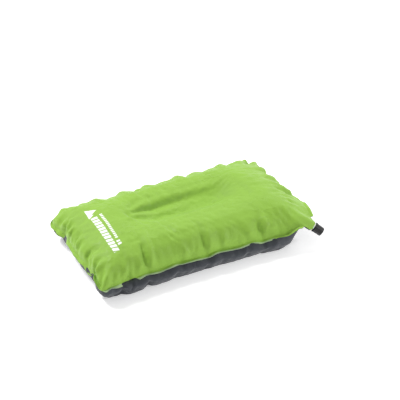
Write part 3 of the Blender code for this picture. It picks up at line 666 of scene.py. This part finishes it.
def settled_points(cloth, sizes):
    """The CAD's broad form, with the simulation's strengthened puckers and the drawn folds."""
    points = cloth.start.copy()
    moved = inflate(cloth, sizes) - cloth.start
    moved -= spread_out(moved, net_edges(cloth), BROAD_TURNS)
    moved *= PUCKER_GAIN
    length = np.linalg.norm(moved, axis=1, keepdims=True)
    points += moved * np.minimum(1.0, MOST_MOVE / np.maximum(length, 1e-9))
    points += fuller_bottom(cloth) + slumps(cloth) + scallops(cloth)
    points -= outward_normals(cloth, points) * fold_depth(cloth)[:, None]
    clear_of_neck = smoothstep(30 * MM, 60 * MM, cloth.from_valve())[:, None]
    for _ in range(EDGE_TURNS):
        for ring in cloth.rings:
            line = points[ring]
            even = (np.roll(line, 1, axis=0) + np.roll(line, -1, axis=0)) / 2
            points[ring] += 0.5 * (even - line) * clear_of_neck[ring]
    part_at_weld(cloth, points)
    points[:, 2] = np.maximum(points[:, 2], FLOOR_CLEARANCE)
    return points


# ------------------------------------------------------------------- the skins


def skin_piece(name, cloth, points, side, thickness):
    """One skin and its half of the welded strip, as a thin closed solid."""
    grid = cloth.top_faces if side > 0 else cloth.bottom_faces
    strip = cloth.strip_faces if side > 0 else cloth.strip_faces[:, ::-1]
    faces = np.concatenate([grid, strip])
    used, faces = np.unique(faces, return_inverse=True)
    faces = faces.reshape(-1, 4)
    mesh = mesh_of(name, points[used], faces)
    layer = mesh.uv_layers.new(name="cut")
    corner = np.empty(len(mesh.loops), np.int32)
    mesh.loops.foreach_get("vertex_index", corner)
    place_on_cut = cloth.cut[used][corner] / CUT_SPAN + 0.5
    layer.data.foreach_set("uv", place_on_cut.astype(np.float32).ravel())
    place = {old: new for new, old in enumerate(used)}
    on_weld = {place[old] for old in cloth.rings[0] if old in place}
    crease = mesh.attributes.new("crease_edge", "FLOAT", "EDGE")
    for edge in mesh.edges:
        if edge.vertices[0] in on_weld and edge.vertices[1] in on_weld:
            crease.data[edge.index].value = 0.9
    mesh.shade_smooth()
    obj = linked(name, mesh)
    fine = obj.modifiers.new("fine", "SUBSURF")
    fine.levels = fine.render_levels = 1
    fine.uv_smooth = "NONE"
    fabric = obj.modifiers.new("fabric", "SOLIDIFY")
    fabric.thickness = thickness
    fabric.offset = 1.0
    return obj


def foam_piece(top, bottom):
    """The foam block, rounded over and kept clear of the skins that lie on it."""
    source = frame["nodes"]["foam_core"]
    foam = linked("foam_block", source.data.copy())
    foam.data.materials.clear()
    remesh = foam.modifiers.new("even", "REMESH")
    remesh.mode = "VOXEL"
    remesh.voxel_size = FOAM_VOXEL
    rounding = foam.modifiers.new("rounding", "SMOOTH")
    rounding.iterations = 4
    shaped = foam.evaluated_get(bpy.context.evaluated_depsgraph_get())
    mesh = bpy.data.meshes.new_from_object(shaped)
    foam.modifiers.clear()
    foam.data = mesh
    mesh.name = "foam_block"
    graph = bpy.context.evaluated_depsgraph_get()
    over, under = (BVHTree.FromObject(obj, graph) for obj in (top, bottom))
    up = Vector((0, 0, 1))
    for vertex in mesh.vertices:
        middle = Vector((vertex.co.x, vertex.co.y, SEAM_LEVEL))
        ceiling, floor = over.ray_cast(middle, up)[0], under.ray_cast(middle, -up)[0]
        if ceiling is not None:
            vertex.co.z = min(vertex.co.z, ceiling.z - FOAM_CLEARANCE)
        if floor is not None:
            vertex.co.z = max(vertex.co.z, floor.z + FOAM_CLEARANCE)
    mesh.shade_smooth()
    return foam


# ------------------------------------------------------------------- materials


class Graph:
    """Short calls for making and joining shader nodes."""

    def __init__(self, tree):
        self.tree = tree

    def node(self, kind, **settings):
        made = self.tree.nodes.new("ShaderNode" + kind)
        for name, value in settings.items():
            setattr(made, name, value)
        return made

    def feed(self, socket, value):
        if isinstance(value, bpy.types.NodeSocket):
            self.tree.links.new(value, socket)
        elif value is not None:
            socket.default_value = value

    def math(self, operation, first, second=None, third=None):
        made = self.node("Math", operation=operation)
        for socket, value in zip(made.inputs, (first, second, third)):
            self.feed(socket, value)
        return made.outputs[0]

    def times(self, first, second):
        return self.math("MULTIPLY", first, second)

    def plus(self, first, second):
        return self.math("ADD", first, second)

    def minus(self, first, second):
        return self.math("SUBTRACT", first, second)

    def ramp(self, value, low, high, to_low=0.0, to_high=1.0):
        made = self.node("MapRange", interpolation_type="SMOOTHSTEP")
        for socket, item in zip(made.inputs, (value, low, high, to_low, to_high)):
            self.feed(socket, item)
        return made.outputs["Result"]

    def noise(self, vector, scale, detail=3.0, roughness=0.5):
        made = self.node("TexNoise")
        self.feed(made.inputs["Vector"], vector)
        for name, value in (("Scale", scale), ("Detail", detail), ("Roughness", roughness)):
            self.feed(made.inputs[name], value)
        return made.outputs["Fac"]

    def mix(self, share, first, second):
        made = self.node("Mix", data_type="RGBA")
        sockets = (made.inputs["Factor"], made.inputs[6], made.inputs[7])
        for socket, value in zip(sockets, (share, first, second)):
            self.feed(socket, value)
        return made.outputs[2]

    def scaled(self, vector, amounts):
        made = self.node("VectorMath", operation="MULTIPLY")
        self.feed(made.inputs[0], vector)
        self.feed(made.inputs[1], amounts)
        return made.outputs[0]

    def group(self, tree, **inputs):
        made = self.node("Group", node_tree=tree)
        for name, value in inputs.items():
            self.feed(made.inputs[name.replace("_", " ")], value)
        return made


def shader_group(name, inputs, outputs):
    """A node group with named sockets; returns its graph and its two end nodes."""
    tree = bpy.data.node_groups.new(name, "ShaderNodeTree")
    for label, kind, value in inputs:
        kind = "NodeSocket" + kind
        socket = tree.interface.new_socket(label, in_out="INPUT", socket_type=kind)
        if value is not None:
            socket.default_value = value
    for label, kind in outputs:
        kind = "NodeSocket" + kind
        tree.interface.new_socket(label, in_out="OUTPUT", socket_type=kind)
    given = tree.nodes.new("NodeGroupInput")
    wanted = tree.nodes.new("NodeGroupOutput")
    return Graph(tree), given.outputs, wanted.inputs


def make_weave_group():
    """Plain weave under a coating: the yarns' height, and a tone that is painted shade in the hollows
    between yarns plus slub noise.
    """
    graph, given, wanted = shader_group(
        "coated_weave",
        [("Millimetres", "Vector", None), ("Yarn width", "Float", 0.42), ("Depth", "Float", 1.0)],
        [("Height", "Float"), ("Shade_and_slub_tone", "Float")],
    )
    split = graph.node("SeparateXYZ")
    graph.feed(split.inputs[0], given["Millimetres"])
    turns = [graph.math("DIVIDE", split.outputs[k], given["Yarn width"]) for k in (0, 1)]
    waves = [graph.math("SINE", graph.times(turn, math.pi)) for turn in turns]
    crown = [graph.math("ABSOLUTE", wave) for wave in waves]
    over = graph.times(waves[0], waves[1])
    which = graph.ramp(over, -0.15, 0.15)
    under = graph.times(crown[1], graph.minus(1.0, which))
    height = graph.plus(graph.times(crown[0], which), under)
    graph.feed(wanted["Height"], graph.times(height, given["Depth"]))
    slub = graph.noise(graph.scaled(given["Millimetres"], (0.05, 2.0, 0.0)), 1.0, 2.0)
    # Painted shade: the yarn height darkens the hollows between yarns, and the slub noise adds tone
    # that differs at random.
    graph.feed(wanted["Shade_and_slub_tone"], graph.plus(graph.times(height, 0.6), graph.times(slub, 0.8)))
    return graph.tree


def make_crease_group():
    """Soft handling creases: thin ridges at two sizes, broken up along their length."""
    graph, given, wanted = shader_group(
        "handling_creases",
        [("Millimetres", "Vector", None), ("Size", "Float", 30.0), ("Strength", "Float", 1.0)],
        [("Height", "Float"), ("Ridge", "Float")],
    )
    scale = graph.math("DIVIDE", 1.0, given["Size"])
    warp = graph.node("TexNoise")
    graph.feed(warp.inputs["Vector"], given["Millimetres"])
    graph.feed(warp.inputs["Scale"], scale)
    bent = graph.node("VectorMath", operation="MULTIPLY_ADD")
    graph.feed(bent.inputs[0], warp.outputs["Color"])
    graph.feed(bent.inputs[1], (14.0, 14.0, 0.0))
    graph.feed(bent.inputs[2], given["Millimetres"])
    broad = graph.noise(bent.outputs[0], scale, 2.0)
    fine = graph.noise(bent.outputs[0], graph.times(scale, 3.1), 2.0)
    ridges = []
    for source, width in ((broad, 0.05), (fine, 0.07)):
        off = graph.math("ABSOLUTE", graph.minus(source, 0.5))
        ridges.append(graph.ramp(off, 0.0, width, 1.0, 0.0))
    patches = graph.noise(given["Millimetres"], graph.times(scale, 0.6), 1.0)
    patchy = graph.ramp(patches, 0.42, 0.62)
    ridge = graph.times(graph.plus(ridges[0], graph.times(ridges[1], 0.4)), patchy)
    graph.feed(wanted["Ridge"], ridge)
    height = graph.plus(graph.times(ridge, 0.5), broad)
    graph.feed(wanted["Height"], graph.times(height, given["Strength"]))
    return graph.tree


def make_wear_group():
    """Fine moulding grain and faint rubbing on hard plastic."""
    graph, given, wanted = shader_group(
        "moulded_wear",
        [("Millimetres", "Vector", None), ("Grain", "Float", 3.0), ("Rub", "Float", 0.5)],
        [("Height", "Float"), ("Scuff", "Float")],
    )
    grain = graph.noise(given["Millimetres"], given["Grain"], 4.0, 0.6)
    long_way = graph.scaled(given["Millimetres"], (0.25, 2.2, 0.6))
    streak = graph.ramp(graph.noise(long_way, 1.0, 4.0, 0.7), 0.56, 0.72)
    place = graph.ramp(graph.noise(given["Millimetres"], 0.12, 2.0), 0.45, 0.65)
    graph.feed(wanted["Scuff"], graph.times(graph.times(streak, place), given["Rub"]))
    graph.feed(wanted["Height"], grain)
    return graph.tree


def make_mark_group():
    """The printed mark: two peaks beside a bold row of bars and a fine row of dashes."""
    graph, given, wanted = shader_group(
        "printed_mark",
        [("Millimetres", "Vector", None), ("Start", "Vector", None)],
        [("Ink", "Float")],
    )
    away = graph.node("VectorMath", operation="SUBTRACT")
    graph.feed(away.inputs[0], given["Millimetres"])
    graph.feed(away.inputs[1], given["Start"])
    split = graph.node("SeparateXYZ")
    graph.feed(split.inputs[0], graph.scaled(away.outputs[0], (MARK_SCALE,) * 3))
    up = split.outputs[0]
    along = graph.times(split.outputs[1], -1.0)

    def within(value, low, high, soft=0.25):
        rising = graph.ramp(value, low - soft, low + soft)
        return graph.times(rising, graph.ramp(value, high - soft, high + soft, 1.0, 0.0))

    def bars(first, last, low, high, pitch, filled, slant):
        leaning = graph.minus(along, graph.times(up, slant))
        phase = graph.math("FLOORED_MODULO", leaning, pitch)
        row = graph.times(within(along, first, last), within(up, low, high))
        return graph.times(row, within(phase, 0.0, filled))

    def peak(centre, foot, top, slope):
        aside = graph.math("ABSOLUTE", graph.minus(along, centre))
        edge = graph.minus(top, graph.times(aside, slope))
        below = graph.ramp(graph.minus(edge, up), -0.3, 0.3)
        return graph.times(below, graph.ramp(up, foot - 0.3, foot + 0.3))

    parts = [
        bars(0.0, 108.0, -6.0, 6.0, 9.0, 6.6, 0.25),
        bars(-2.0, 78.0, 11.5, 16.5, 5.4, 3.6, 0.25),
        bars(84.0, 96.0, 9.5, 16.5, 7.0, 4.5, 0.0),
        peak(-18.0, -8.0, 12.0, 1.7),
        peak(-8.5, -8.0, 3.0, 1.5),
    ]
    ink = parts[0]
    for part in parts[1:]:
        ink = graph.math("MAXIMUM", ink, part)
    thin = graph.ramp(graph.noise(given["Millimetres"], 1.6, 3.0), 0.30, 0.42)
    graph.feed(wanted["Ink"], graph.times(ink, graph.plus(0.8, graph.times(thin, 0.2))))
    return graph.tree


def new_material(name):
    material = bpy.data.materials.new(name)
    material.use_nodes = True
    graph = Graph(material.node_tree)
    return material, graph, material.node_tree.nodes["Principled BSDF"]


def finish_surface(graph, shader, colour, roughness, height, strength, distance, **constants):
    """Feed a surface's changing sockets, and set the rest on the shader itself."""
    graph.feed(shader.inputs["Base Color"], colour)
    graph.feed(shader.inputs["Roughness"], roughness)
    bump = graph.node("Bump")
    graph.feed(bump.inputs["Height"], height)
    bump.inputs["Strength"].default_value = strength
    bump.inputs["Distance"].default_value = distance
    graph.feed(shader.inputs["Normal"], bump.outputs["Normal"])
    for name, value in constants.items():
        shader.inputs[name.replace("_", " ")].default_value = value


def make_cloth_material(name, colour, groups, cut_halves, mark_start=None):
    """Coated polyester: weave, slubs, handling creases, a painted highlight along the weld strip's
    cut edge and, on the top, the print.
    """
    material, graph, shader = new_material(name)
    cut = graph.node("UVMap", uv_map="cut")
    millimetres = graph.scaled(cut.outputs[0], (CUT_SPAN / MM,) * 3)
    weave = graph.group(groups["weave"], Millimetres=millimetres)
    creases = graph.group(groups["creases"], Millimetres=millimetres, Size=34.0)
    cloudy = graph.noise(millimetres, 0.02, 3.0)
    # A darker and a lighter copy of the cloth colour, mixed by the weave's painted shade in the yarn
    # hollows and by a cloudy random tone.
    light, dark = (tuple(min(1.0, c * k) for c in colour) + (1.0,) for k in (1.07, 0.90))
    tone = graph.plus(graph.times(weave.outputs["Shade_and_slub_tone"], 0.45), graph.times(cloudy, 0.5))
    shade = graph.mix(graph.ramp(tone, 0.25, 0.85), dark, light)
    roughness = graph.ramp(creases.outputs["Ridge"], 0.0, 1.0, 0.62, 0.48)
    # Painted highlight: within about 2 mm of the cut edge, away from the valve's neck, the weld strip
    # is mixed halfway to a pale grey-green.
    split = graph.node("SeparateXYZ")
    graph.feed(split.inputs[0], millimetres)
    middle = CUT_SPAN / MM / 2
    beyond = [
        graph.minus(graph.math("ABSOLUTE", graph.minus(split.outputs[k], middle)), half / MM)
        for k, half in enumerate(cut_halves)
    ]
    rim = graph.ramp(graph.math("MAXIMUM", *beyond), -2.4, -1.2)
    from_neck = graph.node("VectorMath", operation="SUBTRACT")
    graph.feed(from_neck.inputs[0], millimetres)
    graph.feed(from_neck.inputs[1], (middle + cut_halves[0] / MM, middle - cut_halves[1] / MM, 0.0))
    reach = graph.node("VectorMath", operation="LENGTH")
    graph.feed(reach.inputs[0], graph.scaled(from_neck.outputs[0], (1.8, 1.0, 0.0)))
    rim = graph.times(rim, graph.ramp(reach.outputs["Value"], 172.0, 192.0))
    shade = graph.mix(graph.times(rim, 0.5), shade, (0.42, 0.50, 0.40, 1.0))
    if mark_start is not None:
        mark = graph.group(groups["mark"], Millimetres=millimetres, Start=mark_start)
        shade = graph.mix(mark.outputs["Ink"], shade, (0.86, 0.88, 0.84, 1.0))
        roughness = graph.minus(roughness, graph.times(mark.outputs["Ink"], 0.12))
    height = graph.plus(graph.times(weave.outputs["Height"], 0.06), creases.outputs["Height"])
    finish_surface(
        graph, shader, shade, roughness, height, 0.55, 1.2 * MM,
        Sheen_Weight=0.12, Sheen_Roughness=0.45, Specular_IOR_Level=0.35,
    )
    return material


def make_foam_material(colour, cell):
    """Open-cell foam: round pores, bumped in and painted darker as shade, over a mottled cream."""
    material, graph, shader = new_material("open_cell_foam")
    place = graph.node("NewGeometry").outputs["Position"]
    cells = graph.node("TexVoronoi", feature="SMOOTH_F1")
    graph.feed(cells.inputs["Vector"], place)
    cells.inputs["Scale"].default_value = 1.0 / cell
    mottled = graph.noise(place, 60.0, 3.0)
    # Painted shade: the pore hollows, low in the bump, lean toward a copy of the cream at 0.82
    # brightness, as do the darker random mottles.
    pore_shade_and_mottle, pale = [tuple(c * k for c in colour) + (1.0,) for k in (0.82, 1.0)]
    depth = graph.ramp(cells.outputs["Distance"], 0.1, 0.7)
    shade = graph.mix(graph.times(graph.plus(depth, mottled), 0.5), pore_shade_and_mottle, pale)
    roughness = graph.ramp(depth, 0.0, 1.0, 0.98, 0.88)
    finish_surface(graph, shader, shade, roughness, depth, 0.8, cell / 2, Sheen_Weight=0.1)
    return material


def make_hard_material(name, colour, groups, rough, grain, rub, strength, **constants):
    """Moulded plastic, rubber or metal, with its own grain and rubbed places."""
    material, graph, shader = new_material(name)
    place = graph.scaled(graph.node("NewGeometry").outputs["Position"], (1 / MM,) * 3)
    wear = graph.group(groups["wear"], Millimetres=place, Grain=grain, Rub=rub)
    worn = tuple(min(1.0, c * 1.5 + 0.02) for c in colour) + (1.0,)
    shade = graph.mix(wear.outputs["Scuff"], (*colour, 1.0), worn)
    roughness = graph.plus(rough, graph.times(wear.outputs["Scuff"], 0.25))
    finish_surface(
        graph, shader, shade, roughness, wear.outputs["Height"], strength, 0.1 * MM, **constants,
    )
    return material


# --------------------------------------------------------------------- colours


class CampPillowColours(bpy.types.PropertyGroup):
    """Colours of the pillow's finishes."""

    lime: FloatVectorProperty(
        name="Top cloth", description="Lime polyester of the top skin",
        default=(0.236, 0.430, 0.044), subtype="COLOR", min=0.0, max=1.0,
    )
    slate: FloatVectorProperty(
        name="Bottom cloth", description="Slate grey polyester of the bottom skin",
        default=(0.040, 0.045, 0.054), subtype="COLOR", min=0.0, max=1.0,
    )
    foam: FloatVectorProperty(
        name="Foam", description="Cream of the foam core",
        default=(0.86, 0.83, 0.72), subtype="COLOR", min=0.0, max=1.0,
    )
    knob: FloatVectorProperty(
        name="Knob", description="Black plastic of the valve",
        default=(0.007, 0.007, 0.008), subtype="COLOR", min=0.0, max=1.0,
    )
    fitment: FloatVectorProperty(
        name="Valve base", description="Milky soft plastic of the welded base",
        default=(0.80, 0.82, 0.76), subtype="COLOR", min=0.0, max=1.0,
    )
    rubber: FloatVectorProperty(
        name="Seals", description="Black rubber of the seals",
        default=(0.030, 0.030, 0.032), subtype="COLOR", min=0.0, max=1.0,
    )
    steel: FloatVectorProperty(
        name="Stop ring", description="Spring steel of the stop ring",
        default=(0.75, 0.76, 0.78), subtype="COLOR", min=0.0, max=1.0,
    )


# ------------------------------------------------------------------- operators


def shared_group(key, maker):
    """The shader group of that name, made the first time it is wanted."""
    found = bpy.data.node_groups.get(key)
    return found if found else maker()


def groups():
    return {
        "weave": shared_group("coated_weave", make_weave_group),
        "creases": shared_group("handling_creases", make_crease_group),
        "wear": shared_group("moulded_wear", make_wear_group),
        "mark": shared_group("printed_mark", make_mark_group),
    }


def stand_for(piece, node):
    """Let a piece ride on the pillow's own body, in place of its plain CAD solid."""
    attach(piece, "root")
    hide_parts(node)


class OBJECT_OT_pillow_skins(bpy.types.Operator):
    """Cut, weld and inflate the two fabric skins"""

    bl_idname = "object.pillow_skins"
    bl_label = "Inflate the skins"

    def execute(self, context):
        sizes, colours = context.scene.camp_pillow_sizes, context.scene.camp_pillow_colours
        cloth = Cloth(sizes)
        points = settled_points(cloth, sizes)
        shared = groups()
        on_top = cloth.start[cloth.top_index.ravel(), :2]
        mark = cloth.cut[np.argmin(np.linalg.norm(on_top - MARK_PLACE, axis=1))]
        mark_start = tuple((mark / CUT_SPAN + 0.5) * CUT_SPAN / MM) + (0.0,)
        halves = (sizes.flat_length / 2, sizes.flat_width / 2)
        top = skin_piece("top_cloth", cloth, points, 1, sizes.cloth_thickness)
        lime = make_cloth_material("lime_cloth", colours.lime, shared, halves, mark_start)
        top.data.materials.append(lime)
        bottom = skin_piece("bottom_cloth", cloth, points, -1, sizes.cloth_thickness)
        slate = make_cloth_material("slate_cloth", colours.slate, shared, halves)
        bottom.data.materials.append(slate)
        stand_for(top, "top_skin")
        stand_for(bottom, "bottom_skin")
        return {"FINISHED"}


class OBJECT_OT_pillow_foam(bpy.types.Operator):
    """Fit the foam core inside the two skins, which are made first"""

    bl_idname = "object.pillow_foam"
    bl_label = "Fit the foam"

    def execute(self, context):
        sizes, colours = context.scene.camp_pillow_sizes, context.scene.camp_pillow_colours
        foam = foam_piece(bpy.data.objects["top_cloth"], bpy.data.objects["bottom_cloth"])
        foam.data.materials.append(make_foam_material(colours.foam, sizes.foam_cell))
        stand_for(foam, "foam_core")
        return {"FINISHED"}


class OBJECT_OT_pillow_valve(bpy.types.Operator):
    """Give the twist valve's base, stem, rings and knob their finishes"""

    bl_idname = "object.pillow_valve"
    bl_label = "Finish the valve"

    def execute(self, context):
        colours, shared = context.scene.camp_pillow_colours, groups()
        black = make_hard_material(
            "moulded_black", colours.knob, shared, 0.34, 2.2, 0.5, 0.12,
            Specular_IOR_Level=0.35, Coat_Weight=0.08,
        )
        milky = make_hard_material(
            "milky_fitment", colours.fitment, shared, 0.42, 1.2, 0.3, 0.10,
            Subsurface_Weight=0.35, Subsurface_Scale=2 * MM,
        )
        rubber = make_hard_material("seal_rubber", colours.rubber, shared, 0.55, 3.0, 0.2, 0.15)
        steel = make_hard_material(
            "ring_steel", colours.steel, shared, 0.30, 5.0, 0.2, 0.10, Metallic=1.0,
        )
        finishes = {
            "valve_base": milky, "valve_stem": black, "valve_knob": black,
            "plug_seal": rubber, "knob_seal": rubber, "stop_ring": steel,
        }
        for node, finish in finishes.items():
            data = frame["nodes"][node].data
            data.materials.clear()
            data.materials.append(finish)
        return {"FINISHED"}


class OBJECT_OT_pillow_stage(bpy.types.Operator):
    """Set the pale floor, the studio lights and the long-lens camera"""

    bl_idname = "object.pillow_stage"
    bl_label = "Set the stage"

    def execute(self, context):
        scene = context.scene
        floor = linked("studio_floor", mesh_of("studio_floor", FLOOR_CORNERS, [(0, 1, 2, 3)]))
        paint, graph, shader = new_material("studio_white")
        speck = graph.noise(graph.node("NewGeometry").outputs["Position"], 3.0, 2.0)
        white = graph.mix(speck, (0.93, 0.93, 0.93, 1), (0.95, 0.95, 0.95, 1))
        graph.feed(shader.inputs["Base Color"], white)
        shader.inputs["Roughness"].default_value = 0.9
        shader.inputs["Specular IOR Level"].default_value = 0.0
        shader.inputs["Emission Color"].default_value = (1, 1, 1, 1)
        shader.inputs["Emission Strength"].default_value = FLOOR_GLOW
        floor.data.materials.append(paint)
        world = bpy.data.worlds.new("studio")
        world.use_nodes = True
        sky = world.node_tree.nodes["Background"].inputs
        sky["Color"].default_value = (1, 1, 1, 1)
        sky["Strength"].default_value = WORLD_STRENGTH
        scene.world = world
        for name, place, aim, size, power in LIGHTS:
            data = bpy.data.lights.new(name, "AREA")
            data.shape, data.size, data.energy = "DISK", size, power
            lamp = bpy.data.objects.new(name, data)
            scene.collection.objects.link(lamp)
            lamp.location = place
            toward = Vector(aim) - Vector(place)
            lamp.rotation_euler = toward.to_track_quat("-Z", "Y").to_euler()
        turn, tilt = math.radians(VIEW_AZIMUTH), math.radians(VIEW_ELEVATION)
        level = Vector((math.sin(turn), -math.cos(turn), 0)) * math.cos(tilt)
        back = level + Vector((0, 0, math.sin(tilt)))
        data = bpy.data.cameras.new("long_lens")
        data.lens, data.sensor_width = LENS, SENSOR
        data.clip_end = 100.0
        camera = bpy.data.objects.new("long_lens", data)
        scene.collection.objects.link(camera)
        camera.rotation_mode = "QUATERNION"
        camera.rotation_quaternion = (-back).to_track_quat("-Z", "Y")
        right = camera.rotation_quaternion @ Vector((1, 0, 0))
        up = camera.rotation_quaternion @ Vector((0, 1, 0))
        aim = right * VIEW_ASIDE + up * VIEW_RISE
        camera.location = aim + back * (LENS / SENSOR * VIEW_SPAN)
        scene.camera = camera
        scene.view_settings.view_transform = "Standard"
        return {"FINISHED"}


class VIEW3D_PT_camp_pillow(bpy.types.Panel):
    """Lists the pillow's sizes, colours and building steps"""

    bl_label = "Camp Pillow"
    bl_idname = "VIEW3D_PT_camp_pillow"
    bl_space_type = "VIEW_3D"
    bl_region_type = "UI"
    bl_category = "Camp Pillow"

    def draw(self, context):
        for settings in (context.scene.camp_pillow_sizes, context.scene.camp_pillow_colours):
            box = self.layout.box()
            for name in settings.__annotations__:
                box.prop(settings, name)
        for operator in OPERATORS:
            self.layout.operator(operator.bl_idname)


OPERATORS = (
    OBJECT_OT_pillow_skins,
    OBJECT_OT_pillow_foam,
    OBJECT_OT_pillow_valve,
    OBJECT_OT_pillow_stage,
)
CLASSES = (CampPillowSizes, CampPillowColours, *OPERATORS, VIEW3D_PT_camp_pillow)


def register():
    for each in CLASSES:
        bpy.utils.register_class(each)
    bpy.types.Scene.camp_pillow_sizes = PointerProperty(type=CampPillowSizes)
    bpy.types.Scene.camp_pillow_colours = PointerProperty(type=CampPillowColours)


def unregister():
    del bpy.types.Scene.camp_pillow_colours
    del bpy.types.Scene.camp_pillow_sizes
    for each in reversed(CLASSES):
        bpy.utils.unregister_class(each)


def main():
    for found in list(bpy.context.scene.objects):
        if found.type in ("CAMERA", "LIGHT") or found.name == "Cube":
            bpy.data.objects.remove(found, do_unlink=True)
    register()
    bpy.ops.object.pillow_skins()
    bpy.ops.object.pillow_foam()
    bpy.ops.object.pillow_valve()
    bpy.ops.object.pillow_stage()


if __name__ == "__main__":
    main()
